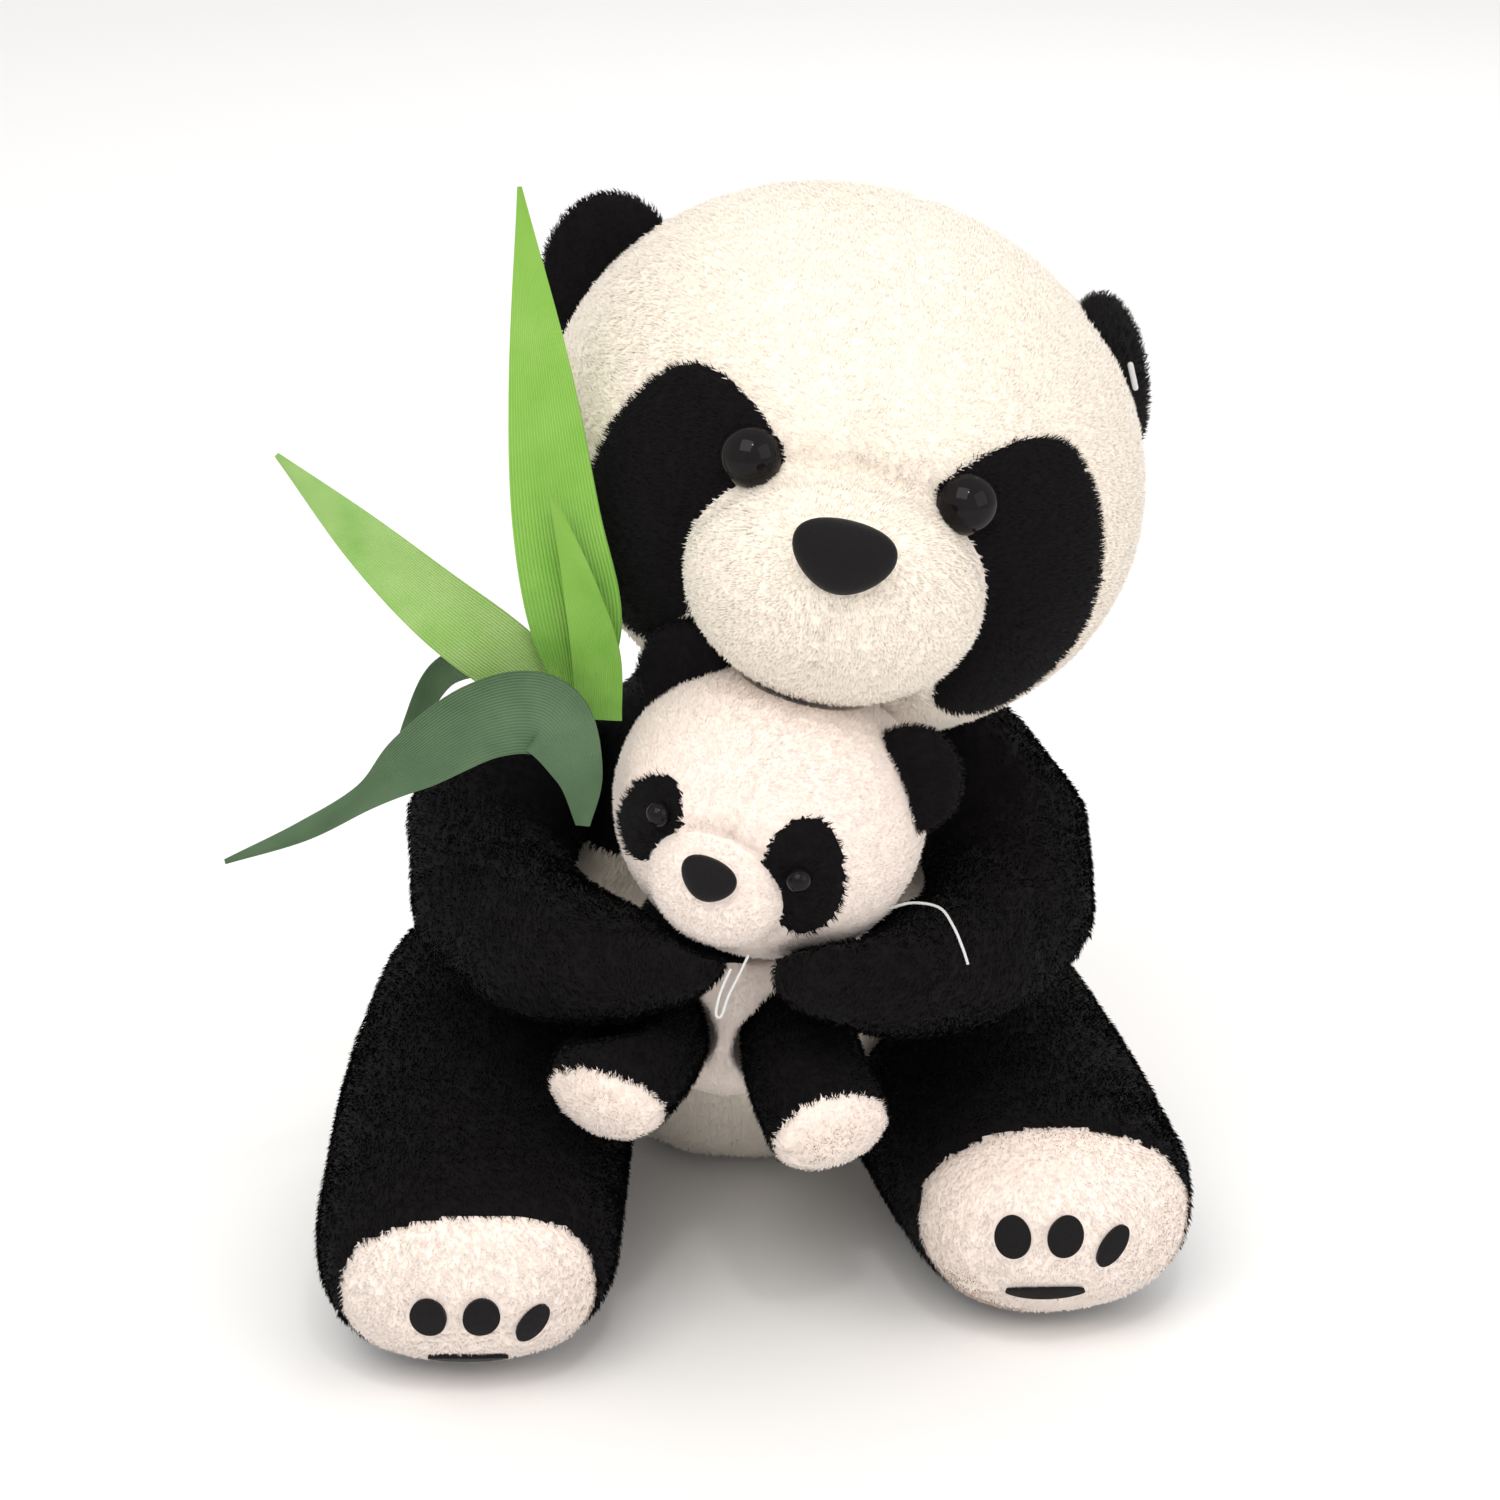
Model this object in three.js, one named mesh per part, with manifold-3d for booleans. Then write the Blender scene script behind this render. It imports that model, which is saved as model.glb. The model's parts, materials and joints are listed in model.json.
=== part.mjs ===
// A seated plush panda that hugs a baby panda, with a sprig of fabric bamboo leaves.
// Millimetres, +Z up. The panda sits on the plane z = 0 and faces -Y; left and right are the viewer's.
import * as THREE from 'three';
import { mergeVertices } from 'three/addons/utils/BufferGeometryUtils.js';
import Module from 'manifold-3d';

const wasm = await Module();
wasm.setup();

// ---------------------------------------------------------------- driving sizes
const SKIN = 2.2; // plush cloth with its backing, without the pile
const SEAM_GAP = 0.3; // between pieces sewn to each other
const MOVING_GAP = 0.5; // between pieces that move past each other
const FINEST = 0.1; // details smaller than this are smoothed away
const PAD_RISE = 1.0; // how far a sewn-on toe pad stands out

const TORSO = { centre: [0, 22, 80], radii: [72, 56, 98], bandHeight: 116 };
const NECK_HOLE = 26;
const TAIL = { radii: [19, 17, 16], height: 46 };

// The face is laid out in the head's own frame: x across, -y forward, z up.
const HEAD = { centre: [31, -10, 241], roll: 12.4, yaw: -5 };
const SKULL = { centre: [-4, 0, -1], radii: [90, 78, 80], roll: 11 };
const NOD = { pivot: [31, 4, 208], axis: [-1, 0, 0], range: 12, steps: 3 };
const MUZZLE = { radii: [44, 39, 36], drop: 12, sunk: 15 };
const NOSE = { width: 27, depth: 12, height: 21, rise: 20.5, sunk: 1 };
// `inner` and `low` are where an eye's rim is nearest to the nose and lowest.
const EYE = { radius: 9, bulge: 8, shank: 2, shankLength: 13, inner: 21, low: 9, sunk: 4.5 };
const WASHER = { outer: 8, thickness: 1.4, below: 1.5 };
const EARS = {
  left: { centre: [-83, 14, 34], radii: [20.5, 9, 25], turn: 0, tilt: 0 },
  right: { centre: [63.5, 14, 37], radii: [23, 9, 26], turn: 66, tilt: -27 },
};
const TAG_PIN = { radius: 0.9, length: 7 };

const BABY_HEAD = { centre: [5, -75, 160], radii: [46, 43, 44], roll: 18, yaw: -20 };
const BABY_MUZZLE = { radii: [21, 17, 19], drop: 9, sunk: 10 };
const BABY_NOSE = { width: 15.5, depth: 8, height: 13, rise: 9, sunk: 0.5 };
const BABY_EYE = { radius: 3.6, bulge: 3.6, shank: 1, shankLength: 6, inner: 17.9, low: 0.9, sunk: 0.6 };
const BABY_PATCHES = {
  left: { x: -24.5, z: -1, width: 19, height: 32, tilt: -20 },
  right: { x: 21.5, z: 3, width: 21, height: 37, tilt: 16 },
};
const BABY_EAR = { radii: [15, 8, 17], inset: 11, height: 27, back: 2 };
const BABY_BODY = { centre: [-7, -62, 99], radii: [33, 28, 39] };

const SHOULDER_TURN = { range: 10, steps: 4 }; // as far as the ties let the arms open
const HIP_TURN = { range: 20, steps: 3 };

// Each limb runs through stations of [x, y, z, half width, half height]. Squareness 2 is a round limb,
// and cap is how far its round end stands out, as a share of its radius. A sole is cut by a plane at
// `out` beyond the last station, leaning down by `lean` and turned outwards by `turn`.
const ARMS = {
  left: {
    side: -1,
    pivot: [-64, 10, 138],
    stations: [[-64, 11, 138, 30, 28], [-82, -20, 119, 32.5, 28], [-68, -60, 114, 28, 28],
      [-43, -92, 120, 23, 22], [-19, -107, 129, 17, 16]],
  },
  right: {
    side: 1,
    pivot: [62, 12, 136],
    stations: [[62, 12, 136, 29, 27], [80, -18, 117, 31.5, 28], [71, -57, 109, 27, 26],
      [44, -91, 114, 23, 22], [17, -109, 126, 17, 16]],
  },
};
const LEGS = {
  left: {
    side: -1,
    pivot: [-66, 14, 39],
    stations: [[-75, 14, 44, 47, 43.5], [-81, -40, 40, 47.5, 39.5], [-82.5, -112, 34.5, 47, 34]],
    squareness: 2.7,
    sole: { out: 13, lean: 10, turn: 4 },
    pads: { x: 6.5, z: 2, lean: 10 },
  },
  right: {
    side: 1,
    pivot: [66, 14, 39],
    stations: [[65, 14, 40.5, 46, 40], [78, -36, 36, 49, 35.5], [90, -86, 34.5, 46, 34]],
    squareness: 2.4,
    sole: { out: 5, lean: -4, turn: 2 },
    pads: { x: 0, z: 3, lean: 2 },
  },
};
const TOES = [
  { x: -15, z: 6.5, width: 10.5, height: 12.5, tilt: 0 },
  { x: 0, z: 7, width: 10.5, height: 12.5, tilt: -10 },
  { x: 14, z: 2.5, width: 7, height: 13.5, tilt: -32 },
];
const HEEL_BAR = { width: 23, height: 4, drop: 12, across: -5 };

const BABY_LEGS = {
  left: {
    stations: [[-30, -74, 92, 18, 17], [-33, -94, 92, 21.5, 18], [-42, -112, 87.5, 20, 18]],
    cap: 0.42,
    sole: { out: -1, lean: 32, turn: -22 },
  },
  right: {
    stations: [[13, -74, 89, 18, 17], [16, -96, 84, 19.5, 18], [22.5, -113, 76, 19.5, 18]],
    cap: 0.42,
    sole: { out: -1, lean: 23, turn: 20 },
  },
};

// Each leaf runs through stations of [x, y, z, width].
const LEAF_THICKNESS = 0.9;
const STEM = { points: [[-52, -52, 157], [-51, -62, 172], [-50, -66, 186]], radius: 1.6 };
const SPRIG_PIVOT = [-52, -52, 160];
const LEAVES = [
  {
    name: 'leaf_upright',
    stations: [[-49, -69, 186, 7], [-49, -68.5, 212, 25.5], [-54, -66, 244, 24.5], [-58, -58, 284, 17],
      [-63, -44, 331, 1]],
  },
  {
    name: 'leaf_short',
    stations: [[-43, -73, 186, 13], [-43.5, -73.5, 206, 13.5], [-48, -72.5, 228, 9], [-55, -70, 252, 1]],
  },
  {
    name: 'leaf_left',
    stations: [[-54, -63, 187, 17], [-70, -67, 203, 21.5], [-88, -68, 219, 20.5], [-108, -66, 238, 14.5],
      [-131, -60, 260, 1]],
  },
  {
    name: 'leaf_drooping',
    stations: [[-47, -94, 163, 4], [-48, -93, 179, 14], [-57, -88, 193.5, 24], [-74, -84.5, 191, 23],
      [-94, -83, 178, 18], [-108, -84, 167.5, 8.5], [-126, -87, 158, 6], [-148, -90, 150, 1]],
  },
  {
    name: 'leaf_back',
    stations: [[-58, -48, 181, 9], [-74, -43, 191, 10], [-89, -40, 187, 9], [-99, -38, 170, 6],
      [-107, -36, 149, 1]],
  },
];

const TIE_RADIUS = 0.4;
const TIES = [
  {
    name: 'tie_thread_cheek',
    points: [[38.5, -96.5, 138.5], [45, -99, 141.5], [52, -105, 143], [55.5, -111, 140.5],
      [58, -115.5, 136], [59.5, -118, 132]],
  },
  {
    name: 'tie_thread_chin',
    points: [[-1, -118.5, 135], [-3.5, -123, 131.5], [-6.5, -127.4, 127], [-8.4, -130.4, 122.6],
      [-9.8, -130.4, 123.4], [-8.6, -127.6, 128.4], [-5.8, -123, 133.2]],
  },
];

// ---------------------------------------------------------------- materials
function cloth(colour, roughness) {
  return new THREE.MeshStandardMaterial({ color: colour, roughness, metalness: 0 });
}
const WHITE_PLUSH = cloth(0xf3e6d6, 0.95);
const BLACK_PLUSH = cloth(0x141216, 0.95);
const BLACK_VELVET = cloth(0x0b0a0d, 0.85);
const STUFFING = cloth(0xf7f7f4, 1);
const BLACK_PLASTIC = cloth(0x060607, 0.08);
const CLEAR_PLASTIC = cloth(0xe9ecec, 0.35);
const LIGHT_LEAF = cloth(0x8fbf4a, 0.6);
const DARK_LEAF = cloth(0x4f6b4a, 0.65);
const STEM_GREEN = cloth(0x5e8a3c, 0.6);

// ---------------------------------------------------------------- solids
const up = new THREE.Vector3(0, 0, 1);
const vector = (p) => new THREE.Vector3(p[0], p[1], p[2]);
const degrees = (angle) => THREE.MathUtils.degToRad(angle);

function toSolid(geometry) {
  const bare = geometry.clone();
  bare.deleteAttribute('normal');
  bare.deleteAttribute('uv');
  const merged = mergeVertices(bare, 1e-4);
  return new wasm.Manifold(new wasm.Mesh({
    numProp: 3,
    vertProperties: Float32Array.from(merged.attributes.position.array),
    triVerts: Uint32Array.from(merged.index.array),
  }));
}

// A closed geometry reshaped point by point.
function reshape(geometry, move) {
  const position = geometry.attributes.position;
  const point = new THREE.Vector3();
  for (let i = 0; i < position.count; i += 1) {
    point.fromBufferAttribute(position, i);
    move(point);
    position.setXYZ(i, point.x, point.y, point.z);
  }
  return toSolid(geometry);
}

// How far forward the surface of an ellipsoid is at a place across and up.
function frontOf(ball, x, z) {
  const turn = frameOf(ball).invert();
  const size = vector(ball.radii);
  const near = new THREE.Vector3(x, 0, z).applyMatrix4(turn).divide(size);
  const ahead = new THREE.Vector3(0, -1, 0).transformDirection(turn).divide(size);
  const a = ahead.dot(ahead);
  const b = near.dot(ahead);
  return -(Math.sqrt(b * b - a * (near.dot(near) - 1)) - b) / a;
}

function frameOf(part) {
  const turn = new THREE.Matrix4().makeRotationZ(degrees(part.yaw ?? 0));
  turn.multiply(new THREE.Matrix4().makeRotationY(degrees(part.roll ?? 0)));
  turn.setPosition(vector(part.centre));
  return turn;
}

function ellipsoid(part, grow = 0, frame = new THREE.Matrix4(), segments = 20) {
  const geometry = new THREE.SphereGeometry(1, segments, Math.round(segments * 0.6));
  geometry.rotateX(Math.PI / 2);
  geometry.scale(part.radii[0] + grow, part.radii[1] + grow, part.radii[2] + grow);
  geometry.translate(...part.centre);
  geometry.applyMatrix4(frame);
  return toSolid(geometry);
}

// A stuffed tube with round ends through the stations of a limb.
function limb({ stations, squareness = 2, cap = 1 }, grow = 0, sides = 13) {
  const path = new THREE.CatmullRomCurve3(stations.map(vector));
  const sizes = new THREE.CatmullRomCurve3(stations.map((s) => new THREE.Vector3(s[3], s[4], 0)));
  const geometry = new THREE.CapsuleGeometry(1, 1, 3, sides, 5);
  return reshape(geometry, (p) => {
    const along = THREE.MathUtils.clamp(p.y, -0.5, 0.5);
    const centre = path.getPoint(along + 0.5);
    const ahead = path.getTangent(along + 0.5);
    const side = new THREE.Vector3().crossVectors(ahead, up).normalize();
    const above = new THREE.Vector3().crossVectors(side, ahead);
    const size = sizes.getPoint(along + 0.5);
    const round = Math.hypot(p.x, p.z);
    const square = (Math.abs(p.x) ** squareness + Math.abs(p.z) ** squareness) ** (1 / squareness);
    const fuller = round > 0 ? round / square : 1;
    centre.addScaledVector(side, p.x * fuller * (size.x + grow));
    centre.addScaledVector(above, p.z * fuller * (size.y + grow));
    centre.addScaledVector(ahead, (p.y - along) * (cap * Math.min(size.x, size.y) + grow));
    p.copy(centre);
  });
}

function box(min, max) {
  const geometry = new THREE.BoxGeometry(max[0] - min[0], max[1] - min[1], max[2] - min[2]);
  geometry.translate((min[0] + max[0]) / 2, (min[1] + max[1]) / 2, (min[2] + max[2]) / 2);
  return toSolid(geometry);
}

function drum(radius, length, frame, sides = 16) {
  const geometry = new THREE.CylinderGeometry(radius, radius, length, sides);
  geometry.applyMatrix4(frame);
  return toSolid(geometry);
}

// An outline in the X-Z plane, pushed through from y = front to y = back.
function prism(shape, front, back, frame = new THREE.Matrix4()) {
  const depth = back - front;
  const geometry = new THREE.ExtrudeGeometry(shape, { depth, bevelEnabled: false, curveSegments: 4 });
  geometry.rotateX(Math.PI / 2);
  geometry.translate(0, back, 0);
  geometry.applyMatrix4(frame);
  return toSolid(geometry);
}

function oval(x, z, width, height, tilt = 0) {
  const shape = new THREE.Shape();
  shape.absellipse(x, z, width / 2, height / 2, 0, Math.PI * 2, false, degrees(tilt));
  return shape;
}

// The places that a solid passes through as it turns by up to `range` degrees.
function swept(solid, pivot, axis, range, steps) {
  let whole = solid;
  for (let step = 1; step <= steps; step += 1) {
    const turn = new THREE.Matrix4().makeTranslation(...pivot);
    turn.multiply(new THREE.Matrix4().makeRotationAxis(vector(axis), degrees((range * step) / steps)));
    turn.multiply(new THREE.Matrix4().makeTranslation(-pivot[0], -pivot[1], -pivot[2]));
    whole = whole.add(solid.transform(turn.elements));
  }
  return whole;
}

// ---------------------------------------------------------------- the assembly
const panda = new THREE.Group();

function bodyGroup(frame, parent = panda) {
  const group = new THREE.Group();
  group.applyMatrix4(frame);
  parent.add(group);
  group.updateWorldMatrix(true, false);
  return group;
}

function place(name, solid, material, group = panda) {
  const { vertProperties, triVerts } = solid.simplify(FINEST).getMesh();
  const geometry = new THREE.BufferGeometry();
  geometry.setAttribute('position', new THREE.BufferAttribute(Float32Array.from(vertProperties), 3));
  geometry.setIndex(new THREE.BufferAttribute(Uint32Array.from(triVerts), 1));
  geometry.applyMatrix4(group.matrixWorld.clone().invert());
  const mesh = new THREE.Mesh(geometry, material);
  mesh.name = name;
  group.add(mesh);
  return mesh;
}

const FAR = 500;
const belowFloor = box([-FAR, -FAR, -FAR], [FAR, FAR, 0]);
const headFrame = frameOf(HEAD);
const babyFrame = frameOf(BABY_HEAD);
const BABY_BALL = { centre: [0, 0, 0], radii: BABY_HEAD.radii };

// A muzzle sits in the front of its head, and a nose in the front of its muzzle.
function muzzleOn(ball, muzzle) {
  return { centre: [0, frontOf(ball, 0, 0) + muzzle.sunk, -muzzle.drop], radii: muzzle.radii };
}
const MUZZLE_BALL = muzzleOn(SKULL, MUZZLE);
const BABY_MUZZLE_BALL = muzzleOn(BABY_BALL, BABY_MUZZLE);

const skullFrame = headFrame.clone().multiply(frameOf(SKULL));
const skull = (grow = 0) => ellipsoid({ centre: [0, 0, 0], radii: SKULL.radii }, grow, skullFrame);

// The front and the rear of a limb's end, on both sides of the seam of its sole.
function soleHalves(limbPart) {
  const { out, lean, turn } = limbPart.sole;
  const [x, y, z] = limbPart.stations.at(-1);
  const seam = new THREE.Matrix4().makeTranslation(x, y - out, z);
  seam.multiply(new THREE.Matrix4().makeRotationZ(degrees(turn)));
  seam.multiply(new THREE.Matrix4().makeRotationX(degrees(lean)));
  return [box([-FAR, -FAR, -FAR], [FAR, 0, FAR]), box([-FAR, SEAM_GAP, -FAR], [FAR, FAR, FAR])]
    .map((half) => half.transform(seam.elements));
}

// ---- the mother's head, cut out of everything that it rests on
function headSolid(grow) {
  return skull(grow).add(ellipsoid(MUZZLE_BALL, grow, headFrame));
}
const headPath = swept(headSolid(MOVING_GAP), NOD.pivot, NOD.axis, NOD.range, NOD.steps);

// ---- torso
const torsoOuter = ellipsoid(TORSO, 0).subtract(belowFloor).subtract(headPath);
const torsoInner = ellipsoid(TORSO, -SKIN).subtract(box([-FAR, -FAR, -FAR], [FAR, FAR, SKIN]));
const torsoShell = torsoOuter.subtract(torsoInner);
const aboveBand = box([-FAR, -FAR, TORSO.bandHeight], [FAR, FAR, FAR]);
const belowBand = box([-FAR, -FAR, -FAR], [FAR, FAR, TORSO.bandHeight - SEAM_GAP]);
place('torso_yoke_skin', torsoShell.intersect(aboveBand), BLACK_PLUSH);
place('torso_body_skin', torsoShell.intersect(belowBand), WHITE_PLUSH);
const fillingFloor = box([-FAR, -FAR, -FAR], [FAR, FAR, SKIN + SEAM_GAP]);
const torsoFilling = ellipsoid(TORSO, -SKIN - SEAM_GAP).subtract(fillingFloor).subtract(headPath);
place('torso_filling', torsoFilling, STUFFING);
const torsoBack = -frontOf({ ...TORSO, centre: [0, -TORSO.centre[1], TORSO.centre[2]] }, 0, TAIL.height);
const tailBall = { centre: [0, torsoBack, TAIL.height], radii: TAIL.radii };
const tail = ellipsoid(tailBall, 0, new THREE.Matrix4(), 12);
place('tail', tail.subtract(ellipsoid(TORSO, SEAM_GAP)), WHITE_PLUSH);

// ---- head
const headGroup = bodyGroup(headFrame);

function eyeFrame(eye, side, frame, ball) {
  const x = side * (eye.inner + eye.radius);
  const z = eye.low + eye.radius;
  const seat = new THREE.Vector3(x, frontOf(ball, x, z) + eye.sunk, z);
  const outward = seat.clone().divide(vector(ball.radii)).divide(vector(ball.radii)).normalize();
  const turn = new THREE.Quaternion().setFromUnitVectors(new THREE.Vector3(0, 1, 0), outward);
  return frame.clone().multiply(new THREE.Matrix4().compose(seat, turn, new THREE.Vector3(1, 1, 1)));
}

// A glossy dome on a stalk that goes through the cloth.
function safetyEye(eye, frame, grow = 0) {
  const dome = new THREE.SphereGeometry(1, 12, 7);
  dome.scale(eye.radius + grow, eye.bulge + grow, eye.radius + grow);
  dome.applyMatrix4(frame);
  const length = eye.shankLength + grow;
  const stalk = frame.clone().multiply(new THREE.Matrix4().makeTranslation(0, -length / 2, 0));
  return toSolid(dome).add(drum(eye.shank + grow, length, stalk, 8));
}

function washer(frame, grow = 0) {
  const inner = EYE.shank + SEAM_GAP - grow;
  const half = WASHER.thickness / 2 + grow;
  const rim = WASHER.outer + grow;
  const profile = [[inner, -half], [rim, -half], [rim, half], [inner, half], [inner, -half]];
  const ring = new THREE.LatheGeometry(profile.map(([x, y]) => new THREE.Vector2(x, y)), 12);
  const seat = new THREE.Matrix4().makeTranslation(0, -EYE.bulge - WASHER.below, 0);
  ring.applyMatrix4(frame.clone().multiply(seat));
  return toSolid(ring);
}

// The dark patch around an eye: tall, with one point beside the nose bridge and one under the muzzle's side.
// The corners beside the eye are set in eye radii from its middle, so that they keep to its rim.
const EYE_PLACE = [EYE.inner + EYE.radius, EYE.low + EYE.radius];
const byEye = (across, up) => [EYE_PLACE[0] + across * EYE.radius, EYE_PLACE[1] + up * EYE.radius];
const PATCH_OUTLINE = [byEye(-1, 2 / 9), byEye(-4 / 9, 1), [34, 32.5], [44, 36], [54, 34], [62, 26],
  [69, 13], [73, -4], [73, -22], [66, -39], [56, -51], [45, -53], [35, -44], [38, -26], [37, -6],
  byEye(0, -1)];
function eyePatchShape(side, grow = 0) {
  const middle = new THREE.Vector2(52, -5);
  const points = PATCH_OUTLINE.map(([x, z]) => {
    const p = new THREE.Vector2(x, z);
    const away = p.clone().sub(middle).normalize();
    p.addScaledVector(away, grow);
    return new THREE.Vector2(side * p.x, p.y);
  });
  const shape = new THREE.Shape();
  shape.setFromPoints(new THREE.SplineCurve([...points, points[0]]).getPoints(28).slice(0, -1));
  return shape;
}

const eyeSides = { left: -1, right: 1 };
const headOuter = skull();
const headInner = skull(-SKIN);
const neckFrame = headFrame.clone().multiply(new THREE.Matrix4().makeRotationX(Math.PI / 2));
neckFrame.multiply(new THREE.Matrix4().makeTranslation(0, 0, SKULL.radii[2]));
const neckHole = drum(NECK_HOLE, SKULL.radii[2], neckFrame.clone().multiply(
  new THREE.Matrix4().makeRotationX(Math.PI / 2)), 24);
let headSkin = headOuter.subtract(headInner).subtract(neckHole);
let headFilling = skull(-SKIN - SEAM_GAP);
let muzzle = ellipsoid(MUZZLE_BALL, 0, headFrame).subtract(skull(SEAM_GAP));

for (const [word, side] of Object.entries(eyeSides)) {
  const frame = eyeFrame(EYE, side, headFrame, SKULL);
  const eyeRoom = safetyEye(EYE, frame, SEAM_GAP);
  const panel = prism(eyePatchShape(side), -FAR, 0, headFrame);
  const panelRoom = prism(eyePatchShape(side, SEAM_GAP), -FAR, 0, headFrame);
  const patch = headOuter.subtract(headInner).intersect(panel).subtract(eyeRoom);
  place(`eye_patch_${word}`, patch, BLACK_PLUSH, headGroup);
  place(`eye_${word}`, safetyEye(EYE, frame), BLACK_PLASTIC, headGroup);
  place(`eye_washer_${word}`, washer(frame), CLEAR_PLASTIC, headGroup);
  headSkin = headSkin.subtract(panelRoom).subtract(eyeRoom);
  headFilling = headFilling.subtract(eyeRoom).subtract(washer(frame, SEAM_GAP));
  muzzle = muzzle.subtract(eyeRoom);
}
place('head_skin', headSkin, WHITE_PLUSH, headGroup);
place('head_filling', headFilling, STUFFING, headGroup);
place('muzzle', muzzle, WHITE_PLUSH, headGroup);

function noseSolid(nose, ball, frame, facets) {
  const [x, y, z] = ball.centre;
  const centre = [x, y - ball.radii[1] + nose.sunk, z + nose.rise];
  return ellipsoid({ centre, radii: [nose.width / 2, nose.depth / 2, nose.height / 2] }, 0, frame, 12)
    .subtract(ellipsoid(ball, SEAM_GAP, frame, facets));
}
place('nose', noseSolid(NOSE, MUZZLE_BALL, headFrame, 20), BLACK_VELVET, headGroup);

for (const [word, ear] of Object.entries(EARS)) {
  const frame = headFrame.clone().multiply(new THREE.Matrix4().makeTranslation(...ear.centre));
  frame.multiply(new THREE.Matrix4().makeRotationY(degrees(ear.tilt)));
  frame.multiply(new THREE.Matrix4().makeRotationZ(degrees(ear.turn)));
  const pad = ellipsoid({ centre: [0, 0, 0], radii: ear.radii }, 0, frame, 14);
  place(`ear_${word}`, pad.subtract(skull(SEAM_GAP)), BLACK_PLUSH, headGroup);
  if (word === 'right') {
    const pin = new THREE.CapsuleGeometry(TAG_PIN.radius, TAG_PIN.length, 3, 8);
    pin.rotateX(Math.PI / 2);
    pin.translate(0, -ear.radii[1] - TAG_PIN.radius, 0);
    pin.applyMatrix4(frame);
    place('ear_tag_pin', toSolid(pin), CLEAR_PLASTIC, headGroup);
  }
}

// ---- the baby, tied in the mother's arms
function babyHeadSolid(grow, segments = 16) {
  return ellipsoid(BABY_BALL, grow, babyFrame, segments)
    .add(ellipsoid(BABY_MUZZLE_BALL, grow, babyFrame, 12));
}
const babyOuter = ellipsoid(BABY_BALL, 0, babyFrame, 16).subtract(headPath);
const babyInner = ellipsoid(BABY_BALL, -SKIN, babyFrame, 16);
const babyShell = babyOuter.subtract(babyInner);
let babySkin = babyShell;
let babyFilling = ellipsoid(BABY_BALL, -SKIN - SEAM_GAP, babyFrame, 16).subtract(headPath);
let babyMuzzle = ellipsoid(BABY_MUZZLE_BALL, 0, babyFrame, 12)
  .subtract(ellipsoid(BABY_BALL, SEAM_GAP, babyFrame, 16));

for (const [word, side] of Object.entries(eyeSides)) {
  const frame = eyeFrame(BABY_EYE, side, babyFrame, BABY_BALL);
  const room = safetyEye(BABY_EYE, frame, SEAM_GAP);
  const { x, z, width, height, tilt } = BABY_PATCHES[word];
  const patch = (grow) => prism(oval(x, z, width + grow, height + grow, tilt), -FAR, 0, babyFrame);
  place(`baby_eye_patch_${word}`, babyShell.intersect(patch(0)).subtract(room), BLACK_PLUSH);
  place(`baby_eye_${word}`, safetyEye(BABY_EYE, frame), BLACK_PLASTIC);
  babySkin = babySkin.subtract(patch(2 * SEAM_GAP)).subtract(room);
  babyFilling = babyFilling.subtract(room);
  babyMuzzle = babyMuzzle.subtract(room);
}
place('baby_head_skin', babySkin, WHITE_PLUSH);
place('baby_head_filling', babyFilling, STUFFING);
place('baby_muzzle', babyMuzzle, WHITE_PLUSH);
place('baby_nose', noseSolid(BABY_NOSE, BABY_MUZZLE_BALL, babyFrame, 12), BLACK_VELVET);
for (const [word, side] of Object.entries(eyeSides)) {
  const across = side * (BABY_HEAD.radii[0] - BABY_EAR.inset);
  const ear = { centre: [across, BABY_EAR.back, BABY_EAR.height], radii: BABY_EAR.radii };
  const solid = ellipsoid(ear, 0, babyFrame, 12).subtract(ellipsoid(BABY_BALL, SEAM_GAP, babyFrame, 16));
  place(`baby_ear_${word}`, solid.subtract(headPath), BLACK_PLUSH);
}

// ---- arms: the torso, the baby and the head press their own shape into them
const turnAxis = [0, 0, 1];
let armsPath = null;
for (const [word, arm] of Object.entries(ARMS)) {
  const opened = -arm.side * SHOULDER_TURN.range;
  const back = (solid) => swept(solid, arm.pivot, turnAxis, opened, SHOULDER_TURN.steps);
  const pressed = back(ellipsoid(TORSO, MOVING_GAP).add(babyHeadSolid(MOVING_GAP)))
    .add(back(ellipsoid(BABY_BODY, MOVING_GAP, new THREE.Matrix4(), 14)));
  const group = bodyGroup(new THREE.Matrix4().makeTranslation(...arm.pivot));
  const shell = limb(arm).subtract(limb(arm, -SKIN));
  place(`arm_skin_${word}`, shell.subtract(pressed), BLACK_PLUSH, group);
  place(`arm_filling_${word}`, limb(arm, -SKIN - SEAM_GAP).subtract(pressed), STUFFING, group);
  const path = swept(limb(arm, MOVING_GAP), arm.pivot, turnAxis, arm.side * SHOULDER_TURN.range,
    2 * SHOULDER_TURN.steps);
  armsPath = armsPath ? armsPath.add(path) : path;
}

// ---- baby's body and legs, under the mother's arms
const babyTorso = ellipsoid(BABY_BODY, 0, new THREE.Matrix4(), 14)
  .subtract(ellipsoid(TORSO, SEAM_GAP)).subtract(babyHeadSolid(SEAM_GAP));
let babyBody = babyTorso;
for (const [word, leg] of Object.entries(BABY_LEGS)) {
  const whole = limb(leg, 0, 10).subtract(armsPath).subtract(ellipsoid(TORSO, SEAM_GAP));
  const [front, rear] = soleHalves(leg);
  babyBody = babyBody.subtract(limb(leg, SEAM_GAP, 10));
  place(`baby_leg_${word}`, whole.intersect(rear), BLACK_PLUSH);
  place(`baby_foot_pad_${word}`, whole.intersect(front), WHITE_PLUSH);
}
place('baby_body', babyBody, WHITE_PLUSH);

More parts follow.
